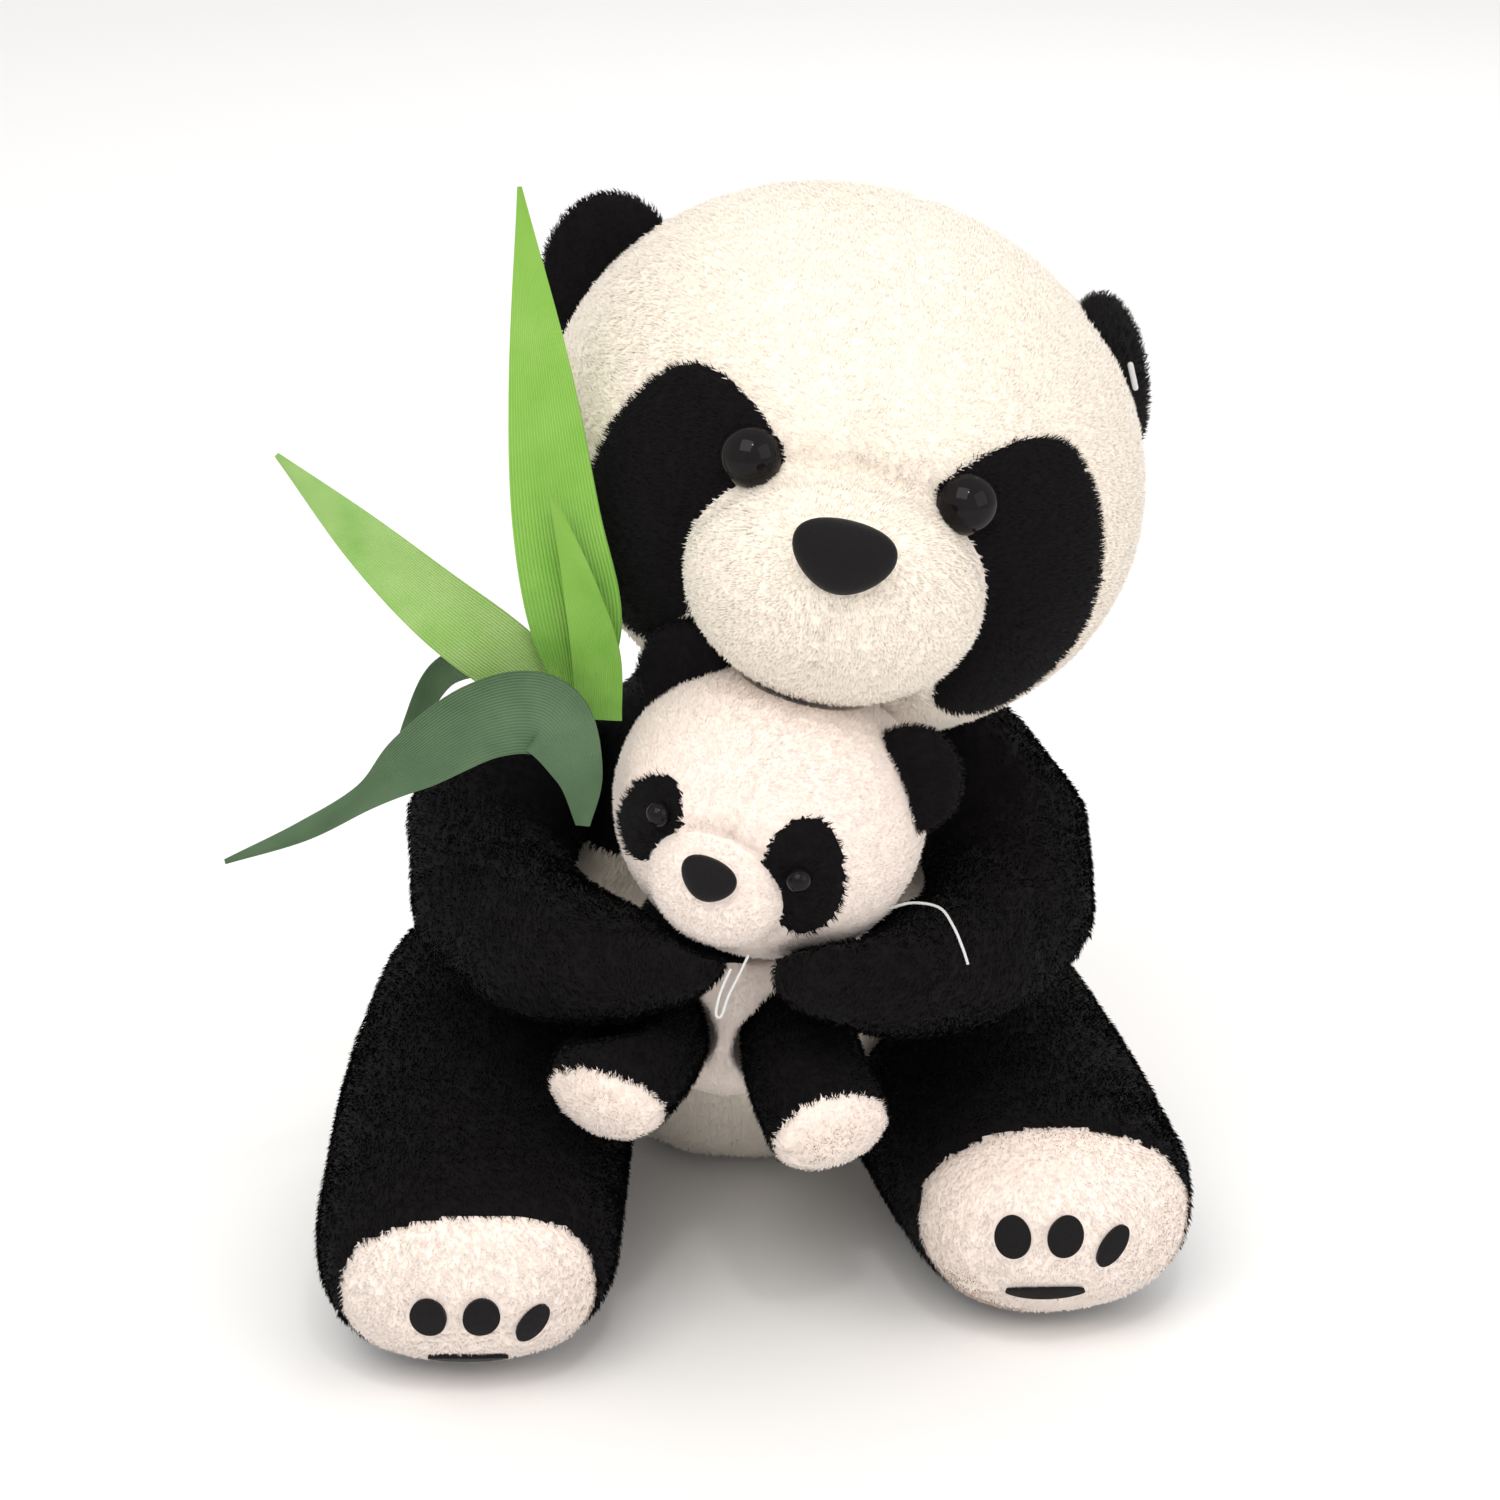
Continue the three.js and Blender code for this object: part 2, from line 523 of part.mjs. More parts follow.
// ---- legs, with a domed white sole sewn on each
for (const [word, leg] of Object.entries(LEGS)) {
  const pressed = swept(ellipsoid(TORSO, MOVING_GAP), leg.pivot, turnAxis,
    -leg.side * HIP_TURN.range, HIP_TURN.steps);
  const group = bodyGroup(new THREE.Matrix4().makeTranslation(...leg.pivot));
  const shell = limb(leg, 0, 16).subtract(limb(leg, -SKIN, 16)).subtract(pressed);
  const [front, rear] = soleHalves(leg);
  place(`leg_skin_${word}`, shell.intersect(rear), BLACK_PLUSH, group);
  place(`sole_${word}`, shell.intersect(front), WHITE_PLUSH, group);
  place(`leg_filling_${word}`, limb(leg, -SKIN - SEAM_GAP, 16).subtract(pressed), STUFFING, group);

  const [x, y, z] = leg.stations.at(-1);
  const padLayer = limb(leg, PAD_RISE + SEAM_GAP, 16).subtract(limb(leg, SEAM_GAP, 16));
  const padFrame = new THREE.Matrix4().makeTranslation(x + leg.pads.x, y, z + leg.pads.z);
  padFrame.multiply(new THREE.Matrix4().makeRotationX(degrees(leg.pads.lean)));
  const padOf = (shape) => padLayer.intersect(prism(shape, -FAR, 0, padFrame));
  TOES.forEach((toe, index) => {
    const shape = oval(toe.x, toe.z, toe.width, toe.height, toe.tilt);
    place(`toe_pad_${word}_${index + 1}`, padOf(shape), BLACK_VELVET, group);
  });
  const bar = oval(HEEL_BAR.across, -HEEL_BAR.drop, HEEL_BAR.width, HEEL_BAR.height);
  place(`heel_bar_${word}`, padOf(bar), BLACK_VELVET, group);
}

// ---- bamboo sprig
function leafBlade(leaf) {
  const curve = new THREE.CatmullRomCurve3(leaf.stations.map(vector));
  const widths = new THREE.CatmullRomCurve3(leaf.stations.map((s) => new THREE.Vector3(s[3], 0, 0)));
  const facing = new THREE.Vector3(0, -1, 0);
  return reshape(new THREE.BoxGeometry(1, 1, 1, 2, 1, 16), (p) => {
    const t = p.z + 0.5;
    const centre = curve.getPoint(t);
    const ahead = curve.getTangent(t);
    const side = new THREE.Vector3().crossVectors(ahead, facing).normalize();
    const face = new THREE.Vector3().crossVectors(side, ahead).negate();
    centre.addScaledVector(side, p.x * widths.getPoint(t).x);
    centre.addScaledVector(face, p.y * LEAF_THICKNESS);
    p.copy(centre);
  });
}

function thread(points, radius, sides) {
  const section = oval(0, 0, radius * 2, radius * 2);
  const corners = new THREE.Shape(section.getPoints(sides / 4).slice(0, sides));
  const path = new THREE.CatmullRomCurve3(points.map(vector));
  const steps = Math.round(path.getLength() / (radius * 5));
  return toSolid(new THREE.ExtrudeGeometry(corners, { steps, extrudePath: path, bevelEnabled: false }));
}

const sprig = bodyGroup(new THREE.Matrix4().makeTranslation(...SPRIG_PIVOT));
place('sprig_stem', thread(STEM.points, STEM.radius, 8), STEM_GREEN, sprig);
const leafColours = { leaf_drooping: DARK_LEAF, leaf_back: DARK_LEAF };
for (const leaf of LEAVES) {
  place(leaf.name, leafBlade(leaf), leafColours[leaf.name] ?? LIGHT_LEAF, sprig);
}

// ---- clear nylon ties that hold the baby
for (const tie of TIES) {
  place(tie.name, thread(tie.points, TIE_RADIUS, 8), CLEAR_PLASTIC);
}

export default panda;
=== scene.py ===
"""A seated plush panda that hugs a baby panda, with a sprig of fabric bamboo leaves.

Metres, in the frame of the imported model: +Z up, the pandas face -Y, left and right are the viewer's.
"""

import json
import math

import bmesh
import bpy
import numpy as np
from mathutils import Matrix, Vector
from mathutils.bvhtree import BVHTree

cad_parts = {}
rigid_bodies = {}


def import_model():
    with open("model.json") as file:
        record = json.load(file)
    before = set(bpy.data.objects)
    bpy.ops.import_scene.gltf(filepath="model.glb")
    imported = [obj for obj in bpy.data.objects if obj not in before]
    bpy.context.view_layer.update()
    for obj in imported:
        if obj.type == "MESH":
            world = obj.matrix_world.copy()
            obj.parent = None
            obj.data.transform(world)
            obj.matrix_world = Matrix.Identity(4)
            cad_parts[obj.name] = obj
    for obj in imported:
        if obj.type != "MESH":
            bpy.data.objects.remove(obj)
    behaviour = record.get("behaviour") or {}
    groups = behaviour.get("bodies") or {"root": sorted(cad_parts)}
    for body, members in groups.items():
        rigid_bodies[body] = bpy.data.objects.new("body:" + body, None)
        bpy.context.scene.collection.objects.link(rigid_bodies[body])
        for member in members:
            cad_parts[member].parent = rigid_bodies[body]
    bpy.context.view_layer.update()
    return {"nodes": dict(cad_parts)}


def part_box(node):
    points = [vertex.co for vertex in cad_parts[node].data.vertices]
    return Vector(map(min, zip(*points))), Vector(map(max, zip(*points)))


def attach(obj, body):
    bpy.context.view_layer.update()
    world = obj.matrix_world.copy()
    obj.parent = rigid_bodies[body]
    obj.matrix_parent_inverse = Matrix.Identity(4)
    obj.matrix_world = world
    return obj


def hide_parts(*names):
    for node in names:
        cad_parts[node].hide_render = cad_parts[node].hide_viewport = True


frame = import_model()
MM = 0.001
SIDES = {"left": -1, "right": 1}


# ------------------------------------------------------------------ places taken from the frame
def middle(node):
    low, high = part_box(node)
    return (low + high) / 2


PILE_SINK = 1.6 * MM  # the cloth lies this far inside the outline that the pile makes
SWELL = 1.5 * MM  # the most that the cloth run may move a point, and the room that is left for it
SWELL_FRAMES = 20
HEAD_ROLL, SKULL_ROLL, HEAD_YAW = 12.4, 11.0, -5.0
SKULL_RADII = Vector((90, 78, 80)) * MM
BABY_RADII = Vector((46, 43, 44)) * MM
EYE_RADIUS, EYE_STALK = 9 * MM, 8 * MM
BABY_EYE_RADIUS, BABY_EYE_STALK = 3.6 * MM, 3 * MM
NOWHERE = Vector((0, 0, 0))


def turned_frame(centre, roll, yaw):
    turn = Matrix.Rotation(math.radians(yaw), 4, "Z") @ Matrix.Rotation(math.radians(roll), 4, "Y")
    return Matrix.Translation(centre) @ turn


def front_of(axes, ball_axes, radii, x, z):
    """How far along y the front of a ball lies, at a place across and up in turned axes."""
    turn = ball_axes.inverted() @ axes
    near, ahead = turn @ Vector((x, 0, z)), turn.to_3x3() @ Vector((0, -1, 0))
    near = Vector([n / r for n, r in zip(near, radii)])
    ahead = Vector([n / r for n, r in zip(ahead, radii)])
    a, b, c = ahead.dot(ahead), near.dot(ahead), near.dot(near) - 1
    return (b - math.sqrt(b * b - a * c)) / a


# the face has its own axes, a little turned from those of the skull under it
SKULL = turned_frame(middle("head_filling"), HEAD_ROLL + SKULL_ROLL, HEAD_YAW)
HEAD = turned_frame(middle("head_filling"), HEAD_ROLL, HEAD_YAW) @ Matrix.Translation(Vector((4, 0, 1)) * MM)
BABY = turned_frame(Vector((5, -75, 160)) * MM, 18.0, -20.0)
MUZZLE_RADII, BABY_MUZZLE_RADII = Vector((44, 39, 36)) * MM, Vector((21, 17, 19)) * MM
MUZZLE_CENTRE = Vector((0, front_of(HEAD, SKULL, SKULL_RADII, 0, 0) + 15 * MM, -12 * MM))
BABY_MUZZLE_CENTRE = Vector((0, -BABY_RADII.y + 10 * MM, -9 * MM))


def on_face(side, across, up, sunk):
    return Vector((side * across, front_of(HEAD, SKULL, SKULL_RADII, side * across, up) + sunk, up))


def on_baby(side, across, up, sunk):
    return Vector((side * across, front_of(BABY, BABY, BABY_RADII, side * across, up) + sunk, up))


EYES = {side: on_face(side, 30 * MM, 18 * MM, 4.5 * MM) for side in (-1, 1)}
BABY_EYES = {side: on_baby(side, 21.5 * MM, 4.5 * MM, 0.6 * MM) for side in (-1, 1)}


# ------------------------------------------------------------------ camera, light and floor
def make_camera():
    aim = Vector((0, -0.020, 0.150))
    rise, distance = math.radians(24), 1.0
    place = aim + distance * Vector((0, -math.cos(rise), math.sin(rise)))
    bpy.ops.object.camera_add(location=place, rotation=(math.pi / 2 - rise, 0, 0))
    camera = bpy.context.object
    camera.data.lens = 80
    camera.data.shift_x, camera.data.shift_y = -0.0013, 0.0067
    bpy.context.scene.camera = camera


def area_light(name, place, aim, size, power, colour):
    bpy.ops.object.light_add(type="AREA", location=place)
    light = bpy.context.object
    light.name = name
    light.data.size, light.data.energy, light.data.color = size, power, colour
    light.rotation_euler = (Vector(aim) - Vector(place)).to_track_quat("-Z", "Y").to_euler()


def make_stage():
    bpy.ops.mesh.primitive_plane_add(size=6, location=(0, 0, -0.0005))
    floor = bpy.context.object
    floor.name = "floor"
    floor.data.materials.append(plain_material("studio_floor", (0.93, 0.925, 0.92), 0.9))
    area_light("key_light", (-0.45, -1.0, 1.6), (0, 0, 0.16), 1.2, 13, (1.0, 0.97, 0.93))
    area_light("fill_light", (1.2, -0.9, 0.9), (0, 0, 0.15), 1.2, 5, (1.0, 0.95, 0.94))
    area_light("rim_light", (0.4, 1.3, 1.3), (0, 0, 0.2), 1.0, 6, (1.0, 1.0, 1.0))
    area_light("spot_glint", (0.12, -0.75, 1.3), (0.03, -0.08, 0.26), 0.08, 1.2, (1.0, 0.98, 0.95))
    world = bpy.data.worlds.new("studio_world")
    world.use_nodes = True
    world.node_tree.nodes["Background"].inputs["Color"].default_value = (1.0, 0.99, 0.98, 1)
    world.node_tree.nodes["Background"].inputs["Strength"].default_value = 0.85
    bpy.context.scene.world = world
    bpy.context.scene.view_settings.view_transform = "Standard"


# ------------------------------------------------------------------ materials
def new_material(name):
    material = bpy.data.materials.new(name)
    material.use_nodes = True
    nodes = material.node_tree.nodes
    return material, nodes, material.node_tree.links, nodes["Principled BSDF"]


def plain_material(name, colour, roughness):
    material, _, _, shader = new_material(name)
    shader.inputs["Base Color"].default_value = (*colour, 1)
    shader.inputs["Roughness"].default_value = roughness
    return material


def add_noise(nodes, links, source, scale, detail=3, roughness=0.5):
    noise = nodes.new("ShaderNodeTexNoise")
    noise.inputs["Scale"].default_value = scale
    noise.inputs["Detail"].default_value = detail
    noise.inputs["Roughness"].default_value = roughness
    links.new(source, noise.inputs["Vector"])
    return noise


def colour_sockets(mix):
    """The two colour inputs and the colour output of an RGBA mix node."""
    ins = [s for s in mix.inputs if s.type == "RGBA"]
    outs = [s for s in mix.outputs if s.type == "RGBA"]
    return ins[0], ins[1], outs[0]


def blend_colours(nodes, links, factor, first, second):
    mix = nodes.new("ShaderNodeMix")
    mix.data_type = "RGBA"
    links.new(factor, mix.inputs["Factor"])
    a, b, result = colour_sockets(mix)
    for socket, value in ((a, first), (b, second)):
        if isinstance(value, tuple):
            socket.default_value = (*value, 1)
        else:
            links.new(value, socket)
    return result


def plush_material(name, root, tip, patchy, sheen, roughness=0.85):
    """Short pile: painted shade darkens it towards its roots, lighter at its tips, uneven where it has been
    brushed.
    """
    material, nodes, links, shader = new_material(name)
    place = nodes.new("ShaderNodeTexCoord").outputs["Object"]
    depth = nodes.new("ShaderNodeAttribute")
    depth.attribute_name = "pile"
    # painted shade: the colour runs from the root colour deep in the pile to the tip colour, by the pile
    # value
    base = blend_colours(nodes, links, depth.outputs["Fac"], root, tip)
    brushed = add_noise(nodes, links, place, 38, 4, 0.6)
    fine = add_noise(nodes, links, place, 420, 2)
    worn = blend_colours(nodes, links, brushed.outputs["Fac"], base, patchy)
    soften = nodes.new("ShaderNodeMath")
    soften.operation = "MULTIPLY"
    soften.inputs[1].default_value = 0.35
    links.new(fine.outputs["Fac"], soften.inputs[0])
    shade = blend_colours(nodes, links, soften.outputs[0], worn, root)
    links.new(shade, shader.inputs["Base Color"])
    shader.inputs["Roughness"].default_value = roughness
    shader.inputs["Sheen Weight"].default_value = sheen
    shader.inputs["Sheen Roughness"].default_value = 0.45
    shader.inputs["Specular IOR Level"].default_value = 0.15
    return material


def velvet_material(name, colour, tip):
    material, nodes, links, shader = new_material(name)
    place = nodes.new("ShaderNodeTexCoord").outputs["Object"]
    grain = add_noise(nodes, links, place, 1600, 2)
    shade = blend_colours(nodes, links, grain.outputs["Fac"], colour, tip)
    links.new(shade, shader.inputs["Base Color"])
    bump = nodes.new("ShaderNodeBump")
    bump.inputs["Strength"].default_value = 0.5
    bump.inputs["Distance"].default_value = 0.0003
    links.new(grain.outputs["Fac"], bump.inputs["Height"])
    links.new(bump.outputs["Normal"], shader.inputs["Normal"])
    shader.inputs["Roughness"].default_value = 0.75
    shader.inputs["Sheen Weight"].default_value = 0.08
    shader.inputs["Sheen Roughness"].default_value = 0.4
    shader.inputs["Specular IOR Level"].default_value = 0.2
    return material


def eye_material():
    material, nodes, links, shader = new_material("glossy_black_plastic")
    place = nodes.new("ShaderNodeTexCoord").outputs["Object"]
    scuffs = add_noise(nodes, links, place, 260, 4)
    shade = blend_colours(nodes, links, scuffs.outputs["Fac"], (0.004, 0.004, 0.005), (0.010, 0.008, 0.008))
    links.new(shade, shader.inputs["Base Color"])
    shader.inputs["Roughness"].default_value = 0.07
    shader.inputs["Specular IOR Level"].default_value = 0.12
    shader.inputs["Coat Weight"].default_value = 0.05
    shader.inputs["Coat Roughness"].default_value = 0.03
    return material


def nylon_material(name, colour):
    material, nodes, links, shader = new_material(name)
    place = nodes.new("ShaderNodeTexCoord").outputs["Object"]
    cloud = add_noise(nodes, links, place, 900, 2)
    shade = blend_colours(nodes, links, cloud.outputs["Fac"], colour, tuple(0.8 * c for c in colour))
    links.new(shade, shader.inputs["Base Color"])
    shader.inputs["Roughness"].default_value = 0.3
    shader.inputs["Transmission Weight"].default_value = 0.25
    return material


def leaf_material(name, edge, body, vein):
    """Woven ribbon printed as a leaf: fine ribs along it and uneven dye."""
    material, nodes, links, shader = new_material(name)
    across = nodes.new("ShaderNodeAttribute")
    across.attribute_name = "across"
    along = nodes.new("ShaderNodeAttribute")
    along.attribute_name = "along"
    ribs = nodes.new("ShaderNodeMath")
    ribs.operation = "SINE"
    rib_count = nodes.new("ShaderNodeMath")
    rib_count.operation = "MULTIPLY"
    rib_count.inputs[1].default_value = 84
    links.new(across.outputs["Fac"], rib_count.inputs[0])
    links.new(rib_count.outputs[0], ribs.inputs[0])
    place = nodes.new("ShaderNodeTexCoord").outputs["Object"]
    dye = add_noise(nodes, links, place, 70, 4)
    base = blend_colours(nodes, links, along.outputs["Fac"], body, edge)
    uneven = blend_colours(nodes, links, dye.outputs["Fac"], base, vein)
    ribbed = nodes.new("ShaderNodeMath")
    ribbed.operation = "MULTIPLY_ADD"
    ribbed.inputs[1].default_value = 0.12
    ribbed.inputs[2].default_value = 0.12
    links.new(ribs.outputs[0], ribbed.inputs[0])
    dark = tuple(0.35 * c for c in body)
    shade = blend_colours(nodes, links, ribbed.outputs[0], uneven, dark)
    links.new(shade, shader.inputs["Base Color"])
    bump = nodes.new("ShaderNodeBump")
    bump.inputs["Strength"].default_value = 0.45
    bump.inputs["Distance"].default_value = 0.0003
    links.new(ribs.outputs[0], bump.inputs["Height"])
    links.new(bump.outputs["Normal"], shader.inputs["Normal"])
    shader.inputs["Roughness"].default_value = 0.5
    shader.inputs["Specular IOR Level"].default_value = 0.35
    return material


CREAM = plush_material("cream_plush", (0.93, 0.82, 0.70), (1.0, 0.95, 0.86), (0.98, 0.90, 0.79), 0.2)
# This copy of the cream plush is pinker and a little darker: painted shade and pinkish low light on the
# lower parts, the soles and the baby.
SHADED_CREAM = plush_material("cream_plush_painted_shade", (0.90, 0.76, 0.68), (0.99, 0.91, 0.85), (0.96, 0.86, 0.79), 0.2)
BLACK = plush_material("black_plush", (0.002, 0.0015, 0.002), (0.0085, 0.007, 0.008),
                       (0.005, 0.0042, 0.005), 0.02)
VELVET = velvet_material("black_velvet", (0.002, 0.0015, 0.002), (0.007, 0.006, 0.0065))
PLASTIC = eye_material()
NYLON = nylon_material("clear_nylon", (0.85, 0.86, 0.86))
LIGHT_LEAF = leaf_material("light_leaf", (0.22, 0.50, 0.045), (0.07, 0.31, 0.018), (0.32, 0.57, 0.11))
PALE_LEAF = leaf_material("pale_leaf", (0.12, 0.40, 0.035), (0.24, 0.48, 0.065), (0.48, 0.66, 0.26))
# The dark leaves are darker at the foot than at the tip: painted shade where their feet sit behind the arm
# and the baby's head.
DARK_LEAF = leaf_material("dark_leaf", (0.05, 0.11, 0.05), (0.035, 0.085, 0.035), (0.13, 0.22, 0.11))
STALK = velvet_material("stalk_wrap", (0.06, 0.12, 0.03), (0.13, 0.22, 0.07))


# ------------------------------------------------------------------ mesh tools
def deselect():
    if bpy.context.mode != "OBJECT":
        bpy.ops.object.mode_set(mode="OBJECT")
    bpy.ops.object.select_all(action="DESELECT")


def choose(obj):
    deselect()
    obj.select_set(True)
    bpy.context.view_layer.objects.active = obj


def apply_all(obj):
    choose(obj)
    for modifier in list(obj.modifiers):
        bpy.ops.object.modifier_apply(modifier=modifier.name)


def settle(obj):
    """Puts the object's place into its mesh."""
    choose(obj)
    bpy.ops.object.transform_apply(location=True, rotation=True, scale=True)


def ball(name, centre, radii, axes, fineness):
    """A smooth ball with three radii, set in turned axes."""
    deselect()
    place = axes @ Vector(centre)
    bpy.ops.mesh.primitive_ico_sphere_add(subdivisions=fineness, radius=1, location=place,
                                          rotation=axes.to_euler(), scale=radii)
    obj = bpy.context.object
    obj.name = name
    settle(obj)
    return obj


def points_of(obj):
    co = np.empty(len(obj.data.vertices) * 3)
    obj.data.vertices.foreach_get("co", co)
    return co.reshape(-1, 3)


def set_points(obj, co):
    obj.data.vertices.foreach_set("co", co.ravel())
    obj.data.update()


def normals_of(obj):
    normals = np.empty(len(obj.data.vertices) * 3)
    obj.data.vertex_normals.foreach_get("vector", normals)
    return normals.reshape(-1, 3)


def into(axes, co):
    """World points in turned axes."""
    inverse = np.array(axes.inverted())
    return co @ inverse[:3, :3].T + inverse[:3, 3]


def out_of(axes, co):
    matrix = np.array(axes)
    return co @ matrix[:3, :3].T + matrix[:3, 3]


def bump_of(distance, width):
    """1 on a line, fading smoothly to about a third at `width` from it."""
    return np.exp(-((distance / width) ** 2))


def press_out(co, axes, centre, radii, clearance):
    """Moves points that lie inside a ball onto its surface, as when it presses on them."""
    local = into(axes, co) - np.array(centre)
    size = np.array(radii) + clearance
    depth = np.linalg.norm(local / size, axis=1)
    inside = depth < 1
    local[inside] /= np.maximum(depth[inside], 0.2)[:, None]
    return np.where(inside[:, None], out_of(axes, local + np.array(centre)), co)


def inside_ball(co, axes, centre, radii, clearance):
    local = into(axes, co) - np.array(centre)
    return np.linalg.norm(local / (np.array(radii) + clearance), axis=1) < 1


def stuffed_copy(name, nodes, voxel, rounds, sink=PILE_SINK):
    """A soft form in the place of CAD solids: joined, remeshed and smoothed, with only its outside kept."""
    deselect()
    copies = []
    for node in nodes:
        source = frame["nodes"][node]
        copy = bpy.data.objects.new(name, source.data.copy())
        bpy.context.collection.objects.link(copy)
        copies.append(copy)
    for copy in copies:
        copy.select_set(True)
    obj = copies[0]
    bpy.context.view_layer.objects.active = obj
    if len(copies) > 1:
        bpy.ops.object.join()
    obj.name = name
    obj.data.materials.clear()
    bpy.ops.object.mode_set(mode="EDIT")
    bpy.ops.mesh.select_all(action="SELECT")
    bpy.ops.mesh.remove_doubles(threshold=1e-5)
    bpy.ops.object.mode_set(mode="OBJECT")
    remesh = obj.modifiers.new("remesh", "REMESH")
    remesh.mode = "VOXEL"
    remesh.voxel_size = voxel
    apply_all(obj)
    keep_outside(obj)
    smooth = obj.modifiers.new("smooth", "SMOOTH")
    smooth.factor, smooth.iterations = 0.5, rounds
    apply_all(obj)
    set_points(obj, points_of(obj) - sink * normals_of(obj))
    return obj


def keep_outside(obj):
    """Deletes closed pockets left inside a remeshed form."""
    choose(obj)
    bpy.ops.object.mode_set(mode="EDIT")
    bpy.ops.mesh.select_mode(type="VERT")
    edit = bmesh.from_edit_mesh(obj.data)
    for vertex in edit.verts:
        vertex.select = False
    max(edit.verts, key=lambda v: v.co.z).select = True
    bmesh.update_edit_mesh(obj.data)
    bpy.ops.mesh.select_linked()
    bpy.ops.mesh.select_all(action="INVERT")
    bpy.ops.mesh.delete(type="VERT")
    bpy.ops.object.mode_set(mode="OBJECT")


def stuff(obj):
    """A short cloth run under inner pressure, each move capped, then one subdivision.

    It moves most points by well under a millimetre, so it hardly changes the shape.
    """
    before = points_of(obj)
    cloth = obj.modifiers.new("swell", "CLOTH")
    cloth.settings.quality = 4
    cloth.settings.use_pressure = True
    cloth.settings.uniform_pressure_force = 4
    cloth.settings.effector_weights.gravity = 0
    cloth.collision_settings.use_self_collision = False
    cloth.point_cache.frame_start, cloth.point_cache.frame_end = 1, SWELL_FRAMES
    for step in range(1, SWELL_FRAMES + 1):
        bpy.context.scene.frame_set(step)
    apply_all(obj)
    bpy.context.scene.frame_set(1)
    move = points_of(obj) - before
    reach = np.maximum(np.linalg.norm(move, axis=1), 1e-9)[:, None]
    set_points(obj, before + move * np.minimum(1, SWELL / reach))
    finer = obj.modifiers.new("finer", "SUBSURF")
    finer.levels = finer.render_levels = 1
    apply_all(obj)


def crumple(obj, depth, scale, seed):
    """Soft dents in a stuffed cloth, never outwards."""
    co = points_of(obj)
    field = wave(co, scale, seed)
    dent = np.clip(0.5 + 0.5 * field[:, 0], 0, 1) ** 2 + 0.5 * np.clip(1 - 6 * np.abs(field[:, 1]), 0, 1)
    set_points(obj, co - depth * dent[:, None] * normals_of(obj))


def draw_in(co, axes, centre, radii, depth, width, inside):
    """Pulls a cloth in along the seam where a ball is sewn to it."""
    local = into(axes, co) - np.array(centre)
    reach = np.abs(np.linalg.norm(local / np.array(radii), axis=1) - 1) * np.mean(radii)
    return co - depth * bump_of(reach, width)[:, None] * unit(co - np.array(inside))


def before_plane(co, corner, lean, turn):
    """How far points lie behind a plane that faces -y, leaned down and turned outwards in degrees."""
    axes = Matrix.Translation(corner) @ Matrix.Rotation(math.radians(turn), 4, "Z")
    return into(axes @ Matrix.Rotation(math.radians(lean), 4, "X"), co)[:, 1]


def take_faces(obj, name, wanted):
    """Moves the faces where `wanted` is true into an object of their own."""
    choose(obj)
    bpy.ops.object.mode_set(mode="EDIT")
    bpy.ops.mesh.select_mode(type="FACE")
    bpy.ops.mesh.select_all(action="DESELECT")
    bpy.ops.object.mode_set(mode="OBJECT")
    obj.data.polygons.foreach_set("select", wanted)
    bpy.ops.object.mode_set(mode="EDIT")
    before = set(bpy.data.objects)
    bpy.ops.mesh.separate(type="SELECTED")
    bpy.ops.object.mode_set(mode="OBJECT")
    piece = next(o for o in bpy.data.objects if o not in before)
    piece.name = name
    return piece


def face_values(obj, point_values):
    """The mean of a point value over each face."""
    corners = np.empty(len(obj.data.loops), int)
    obj.data.loops.foreach_get("vertex_index", corners)
    starts = np.empty(len(obj.data.polygons), int)
    obj.data.polygons.foreach_get("loop_start", starts)
    totals = np.add.reduceat(point_values[corners], starts)
    counts = np.diff(np.append(starts, len(corners)))
    return totals / counts


def outline_distance(x, z, outline):
    """Distance from points to a closed outline in a plane, negative inside it."""
    points = np.column_stack([x, z])
    best = np.full(len(points), np.inf)
    inside = np.zeros(len(points), bool)
    for a, b in zip(outline, np.roll(outline, -1, axis=0)):
        edge = b - a
        t = np.clip(((points - a) @ edge) / (edge @ edge), 0, 1)
        best = np.minimum(best, np.linalg.norm(points - a - t[:, None] * edge, axis=1))
        crosses = (a[1] > points[:, 1]) != (b[1] > points[:, 1])
        with np.errstate(divide="ignore", invalid="ignore"):
            reach = a[0] + (points[:, 1] - a[1]) * edge[0] / edge[1]
        inside ^= crosses & (points[:, 0] < reach)
    return np.where(inside, -best, best)


def between(p0, p1, p2, p3, t):
    """A place on the smooth curve from p1, at 0, to p2, at 1."""
    return 0.5 * (2 * p1 + (p2 - p0) * t + (2 * p0 - 5 * p1 + 4 * p2 - p3) * t * t
                  + (3 * p1 - p0 - 3 * p2 + p3) * t ** 3)


def round_outline(corners, steps=6):
    """A closed smooth outline through its corner points."""
    points = [Vector((x, z)) for x, z in corners]
    count = len(points)
    found = []
    for i in range(count):
        four = [points[(i + k - 1) % count] for k in range(4)]
        found += [between(*four, step / steps) for step in range(steps)]
    return np.array([list(p) for p in found])


# ------------------------------------------------------------------ pile
class Pile:
    """How a plush cloth's pile grows: fibres per mm2, length and width in mm, lean in degrees, ruffle."""

    def __init__(self, per_mm2, length, width, lean, ruffle):
        self.density = per_mm2 / MM ** 2
        self.length, self.width = length * MM, width * MM
        self.lean, self.ruffle = math.radians(lean), ruffle


BLADE_POINTS, BLADE_CORNERS = 5, 7  # each fibre is a four-sided face with a triangle for its tip
SHORT_WHITE = Pile(2.0, 2.6, 0.46, 60, 0.16)
SHORT_BLACK = Pile(1.4, 3.0, 0.55, 56, 0.22)
SOLE_WHITE = Pile(2.2, 2.0, 0.42, 50, 0.22)
TUFTED_BLACK = Pile(2.2, 3.0, 0.40, 46, 0.35)
BABY_WHITE = Pile(2.6, 2.0, 0.38, 54, 0.18)
BABY_BLACK = Pile(2.4, 2.6, 0.38, 46, 0.35)


def unit(v):
    return v / np.maximum(np.linalg.norm(v, axis=1), 1e-9)[:, None]


